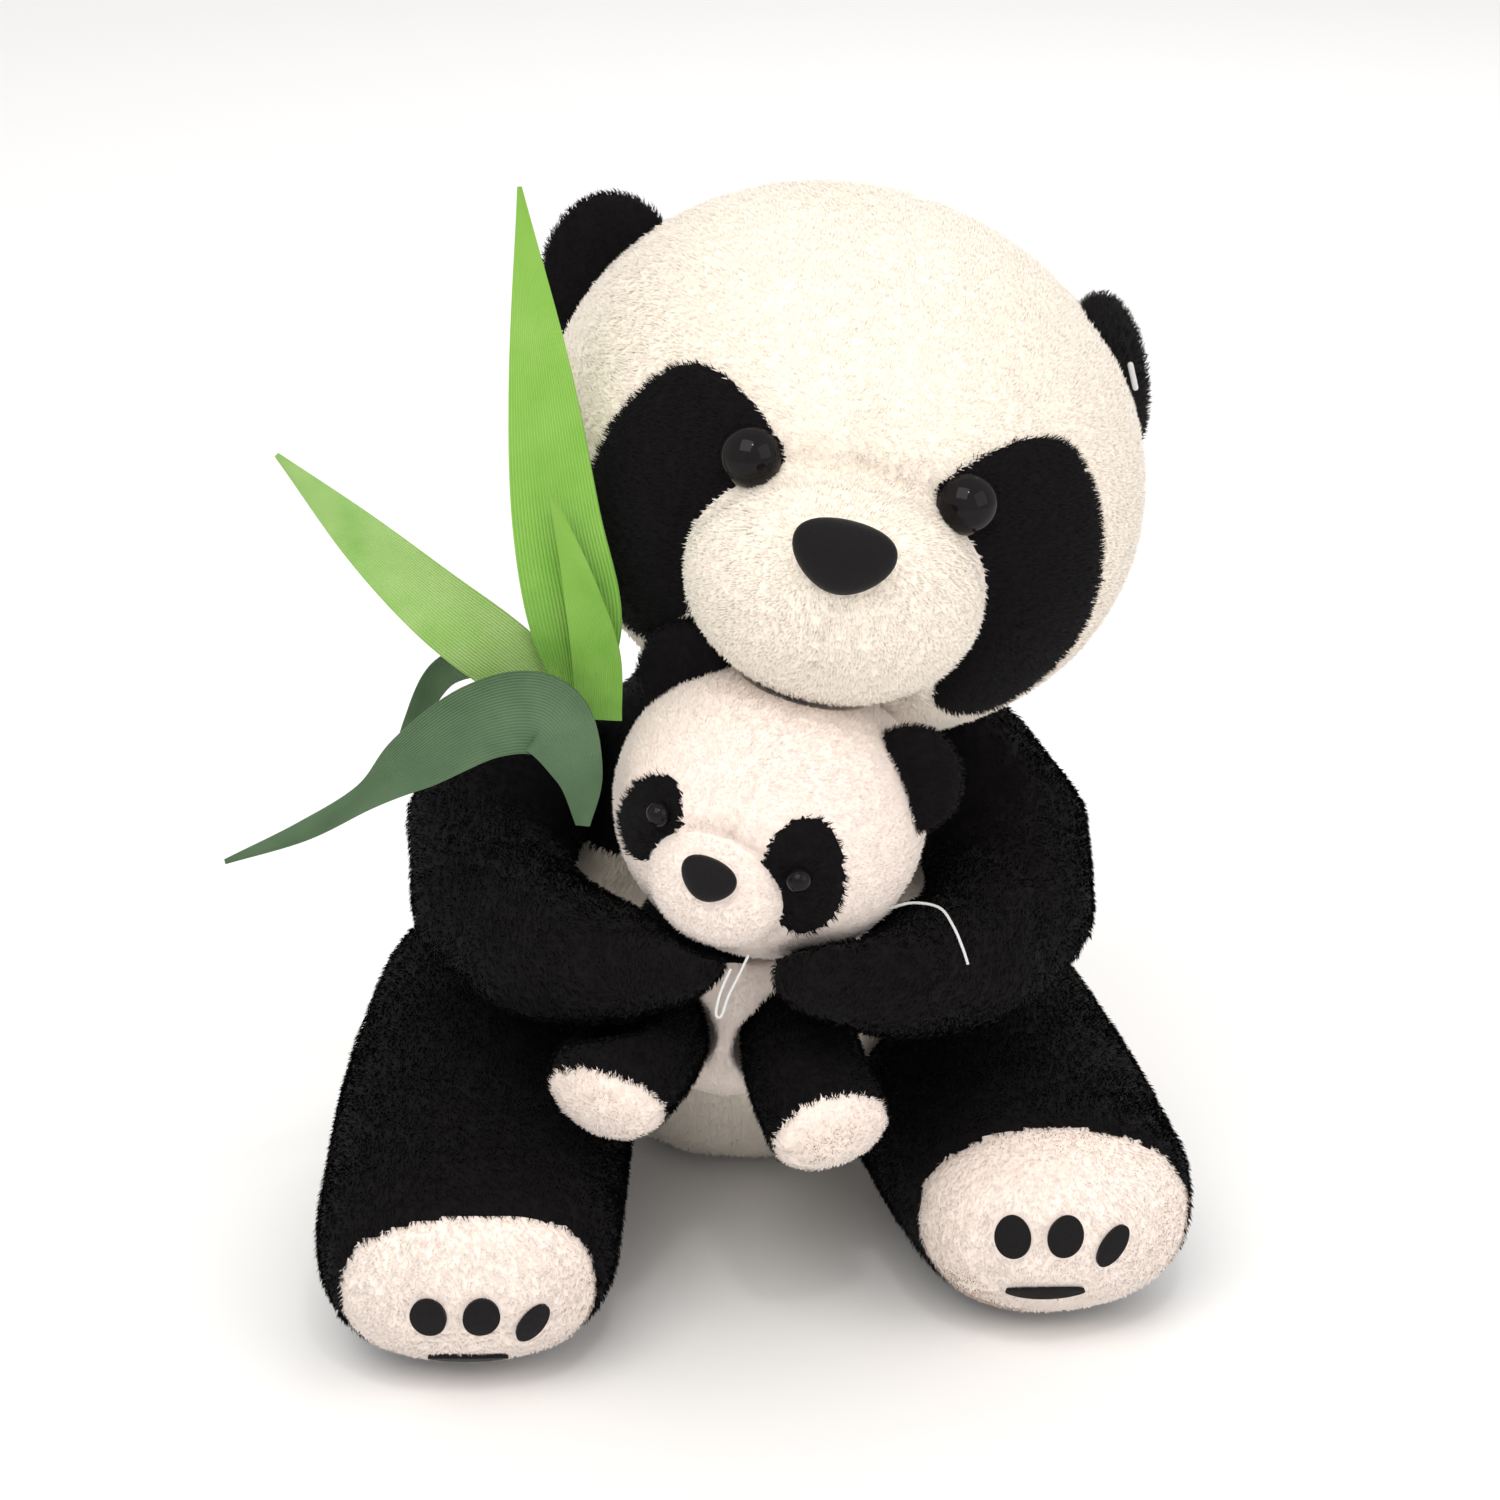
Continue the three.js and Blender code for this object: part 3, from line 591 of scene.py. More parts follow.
def unwrap(obj):
    """Gives the piece the map that its finish is kept in."""
    choose(obj)
    while obj.data.uv_layers:
        obj.data.uv_layers.remove(obj.data.uv_layers[0])
    obj.data.uv_layers.new(name="OFBake")
    bpy.ops.object.mode_set(mode="EDIT")
    bpy.ops.mesh.select_all(action="SELECT")
    bpy.ops.uv.smart_project(angle_limit=math.radians(66), island_margin=0.004)
    bpy.ops.object.mode_set(mode="OBJECT")


def wave(co, scale, seed):
    """A smooth random vector field made of a few sine waves."""
    rng = np.random.default_rng(seed)
    field = np.zeros_like(co)
    for _ in range(4):
        ways = rng.normal(size=(3, 3)) / scale
        field += np.sin(co @ ways + rng.uniform(0, 6.28, 3))
    return field / 2


def grow_pile(obj, pile, seed, comb, keep=None):
    """Adds the pile to a cloth surface, as bent blades whose corners share their root's map spot."""
    unwrap(obj)
    mesh = obj.data
    rng = np.random.default_rng(seed)
    mesh.calc_loop_triangles()
    count = len(mesh.loop_triangles)
    corner_points = np.empty(count * 3, int)
    mesh.loop_triangles.foreach_get("vertices", corner_points)
    corner_points = corner_points.reshape(-1, 3)
    corner_loops = np.empty(count * 3, int)
    mesh.loop_triangles.foreach_get("loops", corner_loops)
    corner_loops = corner_loops.reshape(-1, 3)
    uv = np.empty(len(mesh.loops) * 2)
    mesh.uv_layers["OFBake"].data.foreach_get("uv", uv)
    uv = uv.reshape(-1, 2)
    co, normals = points_of(obj), normals_of(obj)
    edges = co[corner_points]
    areas = np.linalg.norm(np.cross(edges[:, 1] - edges[:, 0], edges[:, 2] - edges[:, 0]), axis=1) / 2
    fibres = int(areas.sum() * pile.density)
    picked = rng.choice(count, fibres, p=areas / areas.sum())
    share = rng.dirichlet((1, 1, 1), fibres)
    root = (share[:, :, None] * co[corner_points[picked]]).sum(1)
    out = unit((share[:, :, None] * normals[corner_points[picked]]).sum(1))
    spot = (share[:, :, None] * uv[corner_loops[picked]]).sum(1)
    if keep is not None:
        kept = keep(root)
        root, out, spot = root[kept], out[kept], spot[kept]
    fibres = len(root)

    way = comb(root) + 0.35 * wave(root, 14 * MM, seed) + pile.ruffle * rng.normal(size=(fibres, 3))
    way = unit(way - (way * out).sum(1)[:, None] * out)
    lean = pile.lean * rng.uniform(0.7, 1.25, fibres)
    length = pile.length * rng.uniform(0.65, 1.15, fibres)
    first = out * np.cos(0.6 * lean)[:, None] + way * np.sin(0.6 * lean)[:, None]
    second = out * np.cos(1.35 * lean)[:, None] + way * np.sin(1.35 * lean)[:, None]
    turn = rng.normal(0, 0.5, fibres)[:, None]
    side = unit(np.cross(first, out + 1e-3) + turn * out * 0.4 + 1e-9)
    half = (pile.width / 2 * rng.uniform(0.7, 1.2, fibres))[:, None]
    base = root - 0.4 * MM * out
    knee = base + 0.5 * length[:, None] * first
    tip = knee + 0.5 * length[:, None] * second
    blades = np.stack([base - half * side, base + half * side, knee + 0.75 * half * side,
                       knee - 0.75 * half * side, tip], axis=1).reshape(-1, 3)
    for places in (co, blades):  # nothing passes through what the toy sits on
        places[:, 2] = np.maximum(places[:, 2], 0.1 * MM)
    shade = unit(out + 0.14 * way + 0.09 * rng.normal(size=(fibres, 3)))

    shell_points, shell_loops = len(co), len(mesh.loops)
    starts = np.empty(len(mesh.polygons), int)
    mesh.polygons.foreach_get("loop_start", starts)
    loops = np.empty(shell_loops, int)
    mesh.loops.foreach_get("vertex_index", loops)
    ids = shell_points + BLADE_POINTS * np.arange(fibres)[:, None]
    blade_loops = np.concatenate([ids + np.array([[0, 1, 2, 3]]), ids + np.array([[3, 2, 4]])], axis=1)
    blade_starts = shell_loops + BLADE_CORNERS * np.arange(fibres)[:, None] + np.array([[0, 4]])

    grown = bpy.data.meshes.new(obj.name)
    grown.vertices.add(shell_points + BLADE_POINTS * fibres)
    grown.vertices.foreach_set("co", np.concatenate([co, blades]).ravel())
    all_loops = np.concatenate([loops, blade_loops.ravel()])
    grown.loops.add(len(all_loops))
    grown.loops.foreach_set("vertex_index", all_loops)
    all_starts = np.concatenate([starts, blade_starts.ravel()])
    grown.polygons.add(len(all_starts))
    grown.polygons.foreach_set("loop_start", all_starts)
    grown.update(calc_edges=True)
    grown.polygons.foreach_set("use_smooth", np.ones(len(all_starts), bool))
    layer = grown.uv_layers.new(name="OFBake")
    layer.data.foreach_set("uv", np.concatenate([uv, np.repeat(spot, BLADE_CORNERS, axis=0)]).ravel())
    # painted shade deep in the pile: the pile value is 0.15 at each blade's root, 0.7 at its knee and 1 at
    # its tip, and 0.55 on the cloth under the blades
    depth = grown.attributes.new("pile", "FLOAT", "POINT")
    painted_root_shade = np.tile([0.15, 0.15, 0.7, 0.7, 1.0], fibres)
    depth.data.foreach_set("value", np.concatenate([np.full(shell_points, 0.55), painted_root_shade]))
    all_normals = np.concatenate([normals, np.repeat(shade, BLADE_POINTS, axis=0)])
    grown.normals_split_custom_set_from_vertices(all_normals)
    obj.data = grown


def finish_piece(obj, body, material, nodes=()):
    obj.data.materials.clear()
    obj.data.materials.append(material)
    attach(obj, body)
    if nodes:
        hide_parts(*nodes)


def away_from(point):
    centre = np.array(point)
    return lambda root: unit(root - centre)


def along(direction, sag=0.0):
    way = np.array(direction, float)
    way /= np.linalg.norm(way)
    way[2] -= sag
    return lambda root: np.tile(way, (len(root), 1))


# ------------------------------------------------------------------ mother's head
# across and up from the middle of the face, in millimetres, mirrored for the other side
PATCH = round_outline([(21, 20), (26, 27), (34, 32.5), (44, 36), (54, 34), (62, 26), (69, 13), (73, -4),
                       (73, -22), (66, -39), (56, -51), (45, -53), (35, -44), (38, -26), (37, -6),
                       (30, 9)]) * MM


def patch_distance(local, side):
    """How far points of the head's face lie outside the eye patch on one side."""
    found = outline_distance(side * local[:, 0], local[:, 2], PATCH)
    return np.where(local[:, 1] < 0, found, 1.0)


def make_head():
    head = ball("head_plush", NOWHERE, SKULL_RADII - Vector((PILE_SINK,) * 3), SKULL, 6)
    co = into(HEAD, points_of(head))
    for side in SIDES.values():
        # the edge of each patch follows its outline
        far = patch_distance(co, side)
        near = np.abs(far) < 1.6 * MM
        step = 0.2 * MM
        grad_x = (patch_distance(co + [step, 0, 0], side) - far) / step
        grad_z = (patch_distance(co + [0, 0, step], side) - far) / step
        co[near, 0] -= (far * grad_x)[near]
        co[near, 2] -= (far * grad_z)[near]
        sewn = bump_of(patch_distance(co, side), 2.2 * MM)
        co *= (1 - 0.010 * sewn)[:, None]
    seam = bump_of(co[:, 0], 1.5 * MM) * (co[:, 2] > 0) + 0.6 * bump_of(co[:, 0], 1.5 * MM) * (co[:, 1] > 0)
    co *= (1 - 0.012 * seam)[:, None]
    co = draw_in(co, Matrix(), MUZZLE_CENTRE, MUZZLE_RADII, 2.0 * MM, 4 * MM, NOWHERE)
    set_points(head, out_of(HEAD, co))
    patches = {}
    for word, side in SIDES.items():
        far = patch_distance(into(HEAD, points_of(head)), side)
        patches[word] = take_faces(head, f"eye_patch_plush_{word}", face_values(head, far) < 0)
    comb = away_from(HEAD @ Vector((0, -100 * MM, 5 * MM)))

    def bare_eyes(root):
        local = into(HEAD, root)
        free = ~inside_ball(root, HEAD, MUZZLE_CENTRE, MUZZLE_RADII, -2 * MM)
        for place in EYES.values():
            free &= np.linalg.norm(local - np.array(place), axis=1) > 7.5 * MM
        return free

    grow_pile(head, SHORT_WHITE, 11, comb, bare_eyes)
    finish_piece(head, "head", CREAM, ("head_skin", "head_filling"))
    for word, patch in patches.items():
        grow_pile(patch, TUFTED_BLACK, 12 + SIDES[word], comb, bare_eyes)
        finish_piece(patch, "head", BLACK, (f"eye_patch_{word}",))


def make_muzzle():
    muzzle = ball("muzzle_plush", MUZZLE_CENTRE, MUZZLE_RADII - Vector((PILE_SINK,) * 3), HEAD, 5)
    co = into(HEAD, points_of(muzzle))
    seam = bump_of(co[:, 0], 1.5 * MM) * np.clip((-2 * MM - co[:, 2]) / (6 * MM), 0, 1)
    seam = seam * np.clip((co[:, 2] + 36 * MM) / (8 * MM), 0, 1)
    co[:, 1] += 2.0 * MM * seam
    co = out_of(HEAD, co)
    co = draw_in(co, SKULL, NOWHERE, SKULL_RADII, 1.6 * MM, 3 * MM, HEAD @ MUZZLE_CENTRE)
    set_points(muzzle, co)
    comb = away_from(HEAD @ Vector((0, -98 * MM, 9 * MM)))
    outside = lambda root: ~inside_ball(root, SKULL, NOWHERE, SKULL_RADII, -3 * MM)
    grow_pile(muzzle, SHORT_WHITE, 21, comb, outside)
    finish_piece(muzzle, "head", CREAM, ("muzzle",))


def shaped_nose(name, centre, radii, axes):
    """A padded velvet nose: wide and flat along the top, drawn in to a blunt point below."""
    nose = ball(name, centre, radii, axes, 4)
    co = into(axes, points_of(nose)) - np.array(centre)
    height = co[:, 2] / radii[2]
    co[:, 0] *= 1.02 + 0.14 * height - 0.12 * (1 - height) ** 2 / 4
    co[:, 2] -= 0.12 * radii[2] * np.clip(height, 0, 1) ** 3
    set_points(nose, out_of(axes, co + np.array(centre)))
    bpy.ops.object.shade_smooth()
    unwrap(nose)
    return nose


def make_nose():
    centre = MUZZLE_CENTRE + Vector((0, 1 * MM - MUZZLE_RADII.y, 20.5 * MM))
    nose = shaped_nose("nose_velvet", centre, Vector((14, 6.5, 11)) * MM, HEAD)
    finish_piece(nose, "head", VELVET, ("nose",))


def eye_axes(axes, place, radii):
    outward = Vector([p / r ** 2 for p, r in zip(place, radii)]).normalized()
    turn = Vector((0, 0, 1)).rotation_difference(outward).to_matrix().to_4x4()
    return axes @ Matrix.Translation(place) @ turn


def make_eye(name, axes, radius, stalk, node, body):
    """A safety eye: a polished dome with a rolled rim on its stalk."""
    rim, foot = -0.45 * radius, -0.57 * radius
    deselect()
    bpy.ops.mesh.primitive_uv_sphere_add(segments=48, ring_count=24, radius=radius)
    eye = bpy.context.object
    eye.name = name
    bpy.ops.object.mode_set(mode="EDIT")
    bpy.ops.mesh.select_all(action="SELECT")
    bpy.ops.mesh.bisect(plane_co=(0, 0, rim), plane_no=(0, 0, 1), clear_inner=True, use_fill=False)
    bpy.ops.mesh.extrude_region_move()
    bpy.ops.transform.resize(value=(0.9, 0.9, 1), center_override=(0, 0, rim))
    bpy.ops.mesh.extrude_region_move(TRANSFORM_OT_translate={"value": (0, 0, -0.12 * radius)})
    bpy.ops.transform.resize(value=(0.28, 0.28, 1), center_override=(0, 0, foot))
    bpy.ops.mesh.extrude_region_move(TRANSFORM_OT_translate={"value": (0, 0, -stalk)})
    bpy.ops.mesh.edge_face_add()
    bpy.ops.object.mode_set(mode="OBJECT")
    eye.matrix_world = axes
    settle(eye)
    bpy.ops.object.shade_smooth_by_angle(angle=math.radians(40))
    unwrap(eye)
    finish_piece(eye, body, PLASTIC, (node,))


def make_eyes():
    for word, side in SIDES.items():
        make_eye(f"safety_eye_{word}", eye_axes(HEAD, EYES[side], SKULL_RADII), EYE_RADIUS, EYE_STALK,
                 f"eye_{word}", "head")
        make_eye(f"baby_safety_eye_{word}", eye_axes(BABY, BABY_EYES[side], BABY_RADII), BABY_EYE_RADIUS,
                 BABY_EYE_STALK, f"baby_eye_{word}", "torso_and_baby")


def make_ear(name, radii, axes, pile, seed, node, body, side):
    """A flat padded ear, cupped towards the front."""
    ear = ball(name, NOWHERE, radii, axes, 5)
    co = into(axes, points_of(ear))
    reach = np.clip((co[:, 0] / radii[0]) ** 2 + (co[:, 2] / radii[2]) ** 2, 0, 1)
    co[:, 1] -= 0.35 * radii[1] * (reach - 0.3)
    set_points(ear, out_of(axes, co))
    inner = axes @ -Vector((side * radii[0], 0, 0.5 * radii[2]))
    grow_pile(ear, pile, seed, away_from(inner))
    finish_piece(ear, body, BLACK, (node,))


# centre and radii of each ear in millimetres, with its turn and tilt in degrees
EARS = {"left": ((-83, 14, 34), (19, 7.5, 23.5), 0, 0),
        "right": ((63.5, 14, 37), (21.5, 7.5, 24.5), 66, -27)}


def make_ears():
    for word, side in SIDES.items():
        centre, radii, turn, tilt = EARS[word]
        axes = HEAD @ turned_frame(Vector(centre) * MM, tilt, 0) @ turned_frame(NOWHERE, 0, turn)
        make_ear(f"ear_plush_{word}", Vector(radii) * MM, axes, TUFTED_BLACK, 31 + side, f"ear_{word}",
                 "head", side)
        axes = BABY @ Matrix.Translation(Vector((side * 35, 2, 27)) * MM)
        make_ear(f"baby_ear_plush_{word}", Vector((14, 7, 16)) * MM, axes, BABY_BLACK, 41 + side,
                 f"baby_ear_{word}", "torso_and_baby", side)


# ------------------------------------------------------------------ torso, arms and legs
def make_torso():
    nodes = ("torso_yoke_skin", "torso_body_skin", "torso_filling")
    torso = stuffed_copy("torso_body_plush", nodes, 5 * MM, 6, PILE_SINK + SWELL)
    stuff(torso)
    crumple(torso, 0.9 * MM, 30 * MM, 50)
    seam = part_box(nodes[0])[0].z
    yoke = take_faces(torso, "torso_yoke_plush", face_values(torso, points_of(torso)[:, 2]) > seam)
    down = along((0, 0.15, -1))
    grow_pile(torso, SHORT_WHITE, 51, down)
    finish_piece(torso, "torso_and_baby", CREAM, nodes[1:])
    grow_pile(yoke, SHORT_BLACK, 52, down)
    finish_piece(yoke, "torso_and_baby", BLACK, nodes[:1])
    tail = stuffed_copy("tail_plush", ("tail",), 2 * MM, 6)
    grow_pile(tail, SHORT_WHITE, 53, down)
    finish_piece(tail, "torso_and_baby", CREAM, ("tail",))


def make_arms():
    for word, side in SIDES.items():
        nodes = (f"arm_skin_{word}", f"arm_filling_{word}")
        arm = stuffed_copy(f"arm_plush_{word}", nodes, 4.5 * MM, 6, PILE_SINK + SWELL)
        stuff(arm)
        crumple(arm, 1.1 * MM, 17 * MM, 60 + side)
        grow_pile(arm, SHORT_BLACK, 61 + side, along((-0.3 * side, -0.7, 0), 0.5))
        finish_piece(arm, f"arm_{word}", BLACK, nodes)


# where each sole's seam runs, with its lean and turn, and where its velvet pads are laid, with their lean
SOLES = {"left": ((-82.5, -125, 34.5), 10, 4, (-76, -112, 36.5), 10),
         "right": ((90, -91, 34.5), -4, 2, (90, -86, 37.5), 2)}


def make_legs():
    for word, side in SIDES.items():
        nodes = (f"leg_skin_{word}", f"sole_{word}", f"leg_filling_{word}")
        leg = stuffed_copy(f"leg_plush_{word}", nodes, 4.5 * MM, 6, PILE_SINK + SWELL)
        stuff(leg)
        crumple(leg, 0.9 * MM, 24 * MM, 70 + side)
        corner, lean, turn, pad_place, pad_lean = SOLES[word]
        behind = before_plane(points_of(leg), Vector(corner) * MM, lean, turn)
        set_points(leg, points_of(leg) - 1.0 * MM * bump_of(behind, 2.4 * MM)[:, None] * normals_of(leg))
        pads = toe_pads(word, leg, pad_place, pad_lean)
        sole = take_faces(leg, f"sole_plush_{word}", face_values(leg, behind) < 0)
        grow_pile(leg, SHORT_BLACK, 71 + side, along((0.1 * side, -1, 0), 0.35))
        finish_piece(leg, f"leg_{word}", BLACK, (nodes[0], nodes[2]))
        centre = middle(f"sole_{word}")
        tree = BVHTree.FromPolygons([v.co for p in pads for v in p.data.vertices], offset_faces(pads))

        def clear_of_pads(root, tree=tree):
            return np.array([tree.find_nearest(Vector(r))[3] > 1.3 * MM for r in root])

        grow_pile(sole, SOLE_WHITE, 81 + side, away_from(centre + Vector((0, 0.03, 0.03))), clear_of_pads)
        finish_piece(sole, f"leg_{word}", SHADED_CREAM, (f"sole_{word}",))


def offset_faces(pads):
    faces, start = [], 0
    for pad in pads:
        faces += [[start + v for v in face.vertices] for face in pad.data.polygons]
        start += len(pad.data.vertices)
    return faces


# across, up, half width and half height of each pad in millimetres, with its tilt in degrees
TOES = ((-15, 6.5, 5.2, 6.2, 0), (0, 7, 5.2, 6.2, -10), (14, 2.5, 3.6, 6.7, -32))
HEEL_BAR = (-5, -12, 11.5, 2.0, 0)


def toe_pads(word, leg, place, lean_down):
    """Velvet ovals and a bar, cut flat and laid onto the end of a leg."""
    axes = Matrix.Translation(Vector(place) * MM) @ Matrix.Rotation(math.radians(lean_down), 4, "X")
    shapes = [(f"toe_pad_{word}_{i + 1}", *toe) for i, toe in enumerate(TOES)]
    shapes.append((f"heel_bar_{word}", *HEEL_BAR))
    pads = []
    for name, across, rise, wide, high, lean in shapes:
        deselect()
        bpy.ops.mesh.primitive_circle_add(vertices=40, radius=1, fill_type="NGON",
                                          rotation=(math.pi / 2, 0, 0))
        pad = bpy.context.object
        pad.name = f"{name}_velvet"
        settle(pad)
        bpy.ops.object.mode_set(mode="EDIT")
        bpy.ops.mesh.select_all(action="SELECT")
        for _ in range(4):
            bpy.ops.mesh.inset(thickness=0.18)
        bpy.ops.object.mode_set(mode="OBJECT")
        co = points_of(pad)
        turn = math.radians(lean)
        flat_x, flat_z = co[:, 0] * wide, co[:, 2] * high
        co = np.column_stack([flat_x * math.cos(turn) - flat_z * math.sin(turn) + across,
                              np.full(len(co), -60.0),
                              flat_x * math.sin(turn) + flat_z * math.cos(turn) + rise]) * MM
        set_points(pad, out_of(axes, co))
        wrap = pad.modifiers.new("lay", "SHRINKWRAP")
        wrap.target, wrap.wrap_method = leg, "PROJECT"
        wrap.use_project_y, wrap.use_negative_direction = True, True
        wrap.offset = 1.2 * MM
        thick = pad.modifiers.new("cloth", "SOLIDIFY")
        thick.thickness, thick.offset = 1.2 * MM, 0
        apply_all(pad)
        bpy.ops.object.shade_smooth_by_angle(angle=math.radians(50))
        unwrap(pad)
        finish_piece(pad, f"leg_{word}", VELVET, (name,))
        pads.append(pad)
    return pads


# ------------------------------------------------------------------ the baby
# across, up, half width, half height and tilt of the patches round the baby's eyes
BABY_PATCHES = {"left": (-24.5, -1, 9.5, 16, -20), "right": (21.5, 3, 10.5, 18.5, 16)}


def baby_patch_distance(local, word):
    """How far points of the baby's face lie outside the eye patch on one side."""
    across, up, wide, high, tilt = BABY_PATCHES[word]
    turn = math.radians(tilt)
    x, z = local[:, 0] - across * MM, local[:, 2] - up * MM
    u = (x * math.cos(turn) + z * math.sin(turn)) / (wide * MM)
    v = (-x * math.sin(turn) + z * math.cos(turn)) / (high * MM)
    return np.where(local[:, 1] < 0, (np.hypot(u, v) - 1) * wide * MM, 1.0)


def make_baby_head():
    head = ball("baby_head_plush", NOWHERE, BABY_RADII - Vector((PILE_SINK,) * 3), BABY, 6)
    co = into(BABY, points_of(head))
    co = draw_in(co, Matrix(), BABY_MUZZLE_CENTRE, BABY_MUZZLE_RADII, 1.6 * MM, 2.6 * MM, NOWHERE)
    seam = bump_of(co[:, 0], 1.2 * MM) * (co[:, 2] > 0)
    co *= (1 - 0.022 * seam)[:, None]
    co = out_of(BABY, co)
    co = press_out(co, SKULL, NOWHERE, SKULL_RADII, 0.6 * MM)
    co = press_out(co, HEAD, MUZZLE_CENTRE, MUZZLE_RADII, 0.6 * MM)
    set_points(head, co)
    patches = {}
    for word in SIDES:
        far = baby_patch_distance(into(BABY, points_of(head)), word)
        patches[word] = take_faces(head, f"baby_eye_patch_plush_{word}", face_values(head, far) < 0)
    comb = away_from(BABY @ Vector((0, -52 * MM, -4 * MM)))

    def free(root):
        local = into(BABY, root)
        open_air = ~inside_ball(root, BABY, BABY_MUZZLE_CENTRE, BABY_MUZZLE_RADII, -1.5 * MM)
        open_air &= ~inside_ball(root, SKULL, NOWHERE, SKULL_RADII, 1.5 * MM)
        open_air &= ~inside_ball(root, HEAD, MUZZLE_CENTRE, MUZZLE_RADII, 1.5 * MM)
        for place in BABY_EYES.values():
            open_air &= np.linalg.norm(local - np.array(place), axis=1) > 3.4 * MM
        return open_air

    grow_pile(head, BABY_WHITE, 91, comb, free)
    finish_piece(head, "torso_and_baby", SHADED_CREAM, ("baby_head_skin", "baby_head_filling"))
    for word, patch in patches.items():
        grow_pile(patch, BABY_BLACK, 92 + SIDES[word], comb, free)
        finish_piece(patch, "torso_and_baby", BLACK, (f"baby_eye_patch_{word}",))
    radii = BABY_MUZZLE_RADII - Vector((1.2 * MM,) * 3)
    muzzle = ball("baby_muzzle_plush", BABY_MUZZLE_CENTRE, radii, BABY, 5)
    outside = lambda root: ~inside_ball(root, BABY, NOWHERE, BABY_RADII, -2 * MM)
    grow_pile(muzzle, BABY_WHITE, 95, comb, outside)
    finish_piece(muzzle, "torso_and_baby", SHADED_CREAM, ("baby_muzzle",))
    centre = BABY_MUZZLE_CENTRE + Vector((0, 0.5 * MM - BABY_MUZZLE_RADII.y, 9 * MM))
    nose = shaped_nose("baby_nose_velvet", centre, Vector((8, 4.4, 6.8)) * MM, BABY)
    finish_piece(nose, "torso_and_baby", VELVET, ("baby_nose",))


BABY_BAND = 115 * MM  # above this the baby's body is black, as its mother's is
# where each foot pad's seam runs, with its lean and turn
BABY_SOLES = {"left": ((-42, -111, 87.5), 32, -22), "right": ((22.5, -112, 76), 23, 20)}


def make_baby_body():
    body = stuffed_copy("baby_body_plush", ("baby_body",), 2.5 * MM, 8)
    yoke = take_faces(body, "baby_yoke_plush", face_values(body, points_of(body)[:, 2]) > BABY_BAND)
    grow_pile(body, BABY_WHITE, 101, along((0, 0, -1)))
    finish_piece(body, "torso_and_baby", SHADED_CREAM, ("baby_body",))
    grow_pile(yoke, BABY_BLACK, 102, along((0, 0, -1)))
    finish_piece(yoke, "torso_and_baby", BLACK)
    for word, side in SIDES.items():
        nodes = (f"baby_leg_{word}", f"baby_foot_pad_{word}")
        leg = stuffed_copy(f"baby_leg_plush_{word}", nodes, 2 * MM, 8)
        corner, lean, turn = BABY_SOLES[word]
        behind = before_plane(points_of(leg), Vector(corner) * MM, lean, turn)
        pad = take_faces(leg, f"baby_foot_plush_{word}", face_values(leg, behind) < 0)
        grow_pile(leg, BABY_BLACK, 103 + side, along((0.2 * side, -1, -0.3)))
        finish_piece(leg, "torso_and_baby", BLACK, (nodes[0],))
        grow_pile(pad, BABY_WHITE, 107 + side, away_from(middle(nodes[1])))
        finish_piece(pad, "torso_and_baby", SHADED_CREAM, (nodes[1],))


# ------------------------------------------------------------------ bamboo sprig
# material, slot, how it is held, then x, y, z and width along each leaf from its foot to its tip
LEAVES = {
    "leaf_upright": (LIGHT_LEAF, "light_leaf", "stretched",
                     [(-49, -69, 186, 7), (-49, -68.5, 212, 25.5), (-54, -66, 244, 24.5),
                      (-58, -58, 284, 17), (-63, -44, 331, 1)]),
    "leaf_short": (LIGHT_LEAF, "light_leaf", "stretched",
                   [(-43, -73, 186, 13), (-43.5, -73.5, 206, 13.5), (-48, -72.5, 228, 9),
                    (-55, -70, 252, 1)]),
    "leaf_left": (PALE_LEAF, "light_leaf", "stretched",
                  [(-54, -63, 187, 17), (-70, -67, 203, 21.5), (-88, -68, 219, 20.5), (-108, -66, 238, 14.5),
                   (-131, -60, 260, 1)]),
    "leaf_drooping": (DARK_LEAF, "dark_leaf", "folded",
                      [(-47, -94, 163, 4), (-48, -93, 179, 14), (-57, -88, 193.5, 24),
                       (-74, -84.5, 191, 23), (-94, -83, 178, 18), (-108, -84, 167.5, 8.5),
                       (-126, -87, 158, 6), (-148, -90, 150, 1)]),
    "leaf_back": (DARK_LEAF, "dark_leaf", "stretched",
                  [(-58, -48, 181, 9), (-74, -43, 191, 10), (-89, -40, 187, 9), (-99, -38, 170, 6),
                   (-107, -36, 149, 1)]),
}


def smooth_path(points, steps):
    """Places along a curve through points in millimetres, in metres."""
    knots = [Vector(p) * MM for p in points]
    knots = [2 * knots[0] - knots[1], *knots, 2 * knots[-1] - knots[-2]]
    spans = len(knots) - 3
    found = []
    for i in range(steps + 1):
        place = min(i / steps * spans, spans - 1e-9)
        k = int(place)
        found.append(between(*knots[k:k + 4], place - k))
    return found


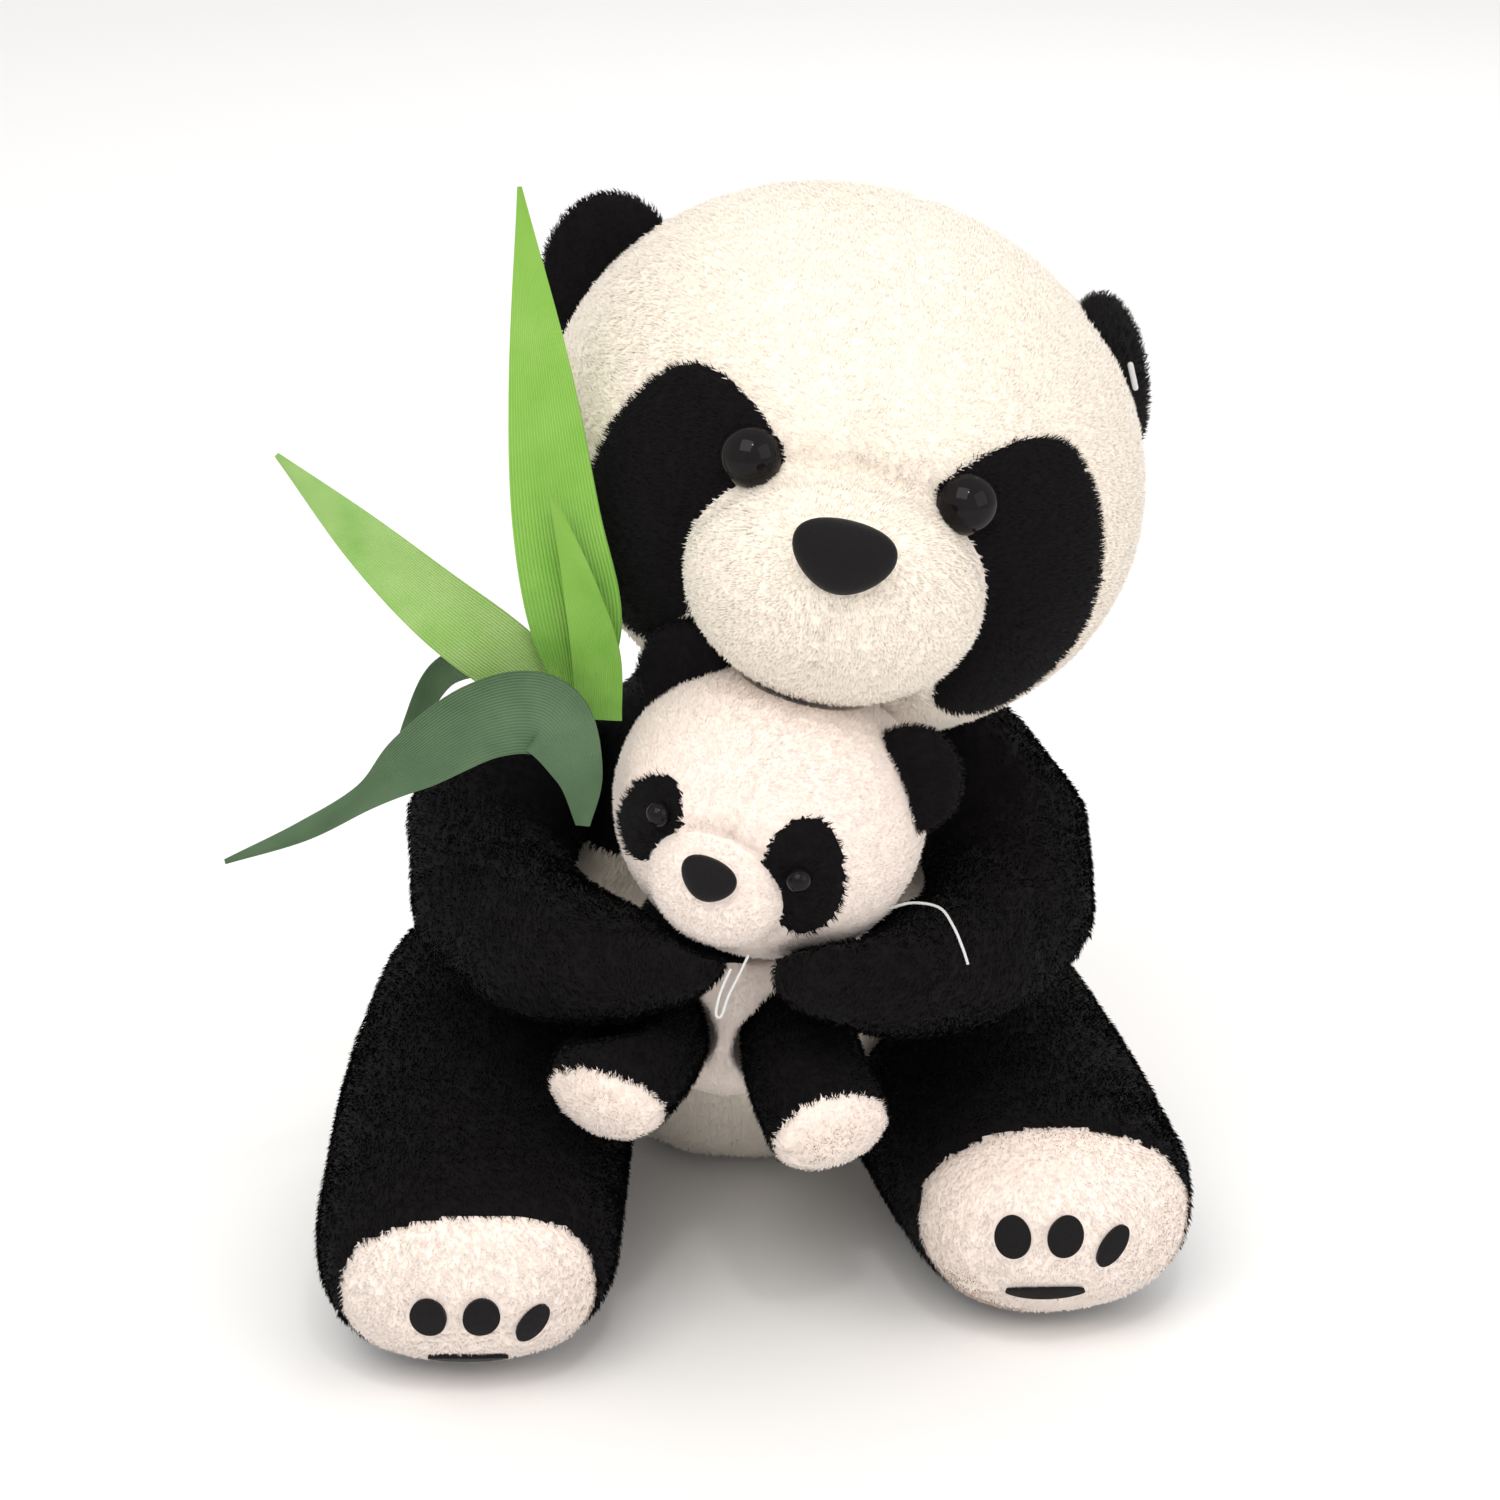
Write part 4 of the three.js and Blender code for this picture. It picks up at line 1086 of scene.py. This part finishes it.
def make_leaf(name, material, stations):
    """A long ribbon leaf, pointed at its tip, slightly cupped along its midrib."""
    across, steps = 12, 64
    deselect()
    bpy.ops.mesh.primitive_grid_add(x_subdivisions=across, y_subdivisions=steps, size=1)
    leaf = bpy.context.object
    leaf.name = f"{name}_fabric"
    path = smooth_path([station[:3] for station in stations], steps)
    widths = np.array([v.x for v in smooth_path([(s[3], 0, 0) for s in stations], steps)])
    co = points_of(leaf)
    u = 2 * co[:, 0]
    row = np.rint((co[:, 1] + 0.5) * steps).astype(int)
    t = row / steps
    facing = Vector((0, -1, 0))
    sides, faces = [], []
    for i in range(steps + 1):
        ahead = (path[min(i + 1, steps)] - path[max(i - 1, 0)]).normalized()
        side = ahead.cross(facing).normalized()
        sides.append(side)
        faces.append(side.cross(ahead).normalized() * -1)
    half = np.maximum(widths, 0.4 * MM)[row] / 2
    centre = np.array([list(p) for p in path])[row]
    side = np.array([list(s) for s in sides])[row]
    face = np.array([list(s) for s in faces])[row]
    cup = 0.10 * half * (np.abs(u) ** 1.5 - 0.4) + 0.5 * MM * np.sin(9 * t + 2 * u)
    placed = centre + side * (u * half)[:, None] - face * cup[:, None]
    set_points(leaf, placed)
    for label, values in (("across", u), ("along", t)):
        attribute = leaf.data.attributes.new(label, "FLOAT", "POINT")
        attribute.data.foreach_set("value", values)
    thick = leaf.modifiers.new("cloth", "SOLIDIFY")
    thick.thickness, thick.offset = 0.5 * MM, 0
    apply_all(leaf)
    bpy.ops.object.shade_smooth_by_angle(angle=math.radians(50))
    unwrap(leaf)
    finish_piece(leaf, "bamboo_sprig", material, (name,))


def make_sprig():
    for name, (material, slot_name, held, stations) in LEAVES.items():
        make_leaf(name, material, stations)
    stem = frame["nodes"]["sprig_stem"]
    stem.data.materials.clear()
    stem.data.materials.append(STALK)


# ------------------------------------------------------------------ nylon ties
TIES = {
    "tie_thread_cheek": [(38.5, -96.5, 138.5), (45, -99, 141.5), (52, -105, 143), (55.5, -111, 140.5),
                         (58, -115.5, 136), (59.5, -118, 132)],
    "tie_thread_chin": [(-1, -118.5, 135), (-3.5, -123, 131.5), (-6.5, -127.4, 127), (-8.4, -130.4, 122.6),
                        (-9.8, -130.4, 123.4), (-8.6, -127.6, 128.4), (-5.8, -123, 133.2)],
}


def make_ties():
    for name, points in TIES.items():
        route = smooth_path(points, 30)
        curve = bpy.data.curves.new(f"{name}_nylon", "CURVE")
        curve.dimensions, curve.bevel_depth, curve.bevel_resolution = "3D", 0.4 * MM, 3
        curve.use_fill_caps = True
        spline = curve.splines.new("POLY")
        spline.points.add(len(route) - 1)
        for point, place in zip(spline.points, route):
            point.co = (*place, 1)
        tie = bpy.data.objects.new(f"{name}_nylon", curve)
        bpy.context.collection.objects.link(tie)
        curve.materials.append(NYLON)
        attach(tie, "torso_and_baby")
        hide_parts(name)


def finish_cad_nodes():
    """The CAD nodes that stay: the washers inside the head and the tag pin in the ear."""
    for name in ("eye_washer_left", "eye_washer_right", "ear_tag_pin"):
        node = frame["nodes"][name]
        node.data.materials.clear()
        node.data.materials.append(NYLON)


make_camera()
make_ties()
make_head()
make_muzzle()
make_nose()
make_eyes()
make_ears()
make_torso()
make_arms()
make_legs()
make_baby_head()
make_baby_body()
make_sprig()
finish_cad_nodes()
make_stage()
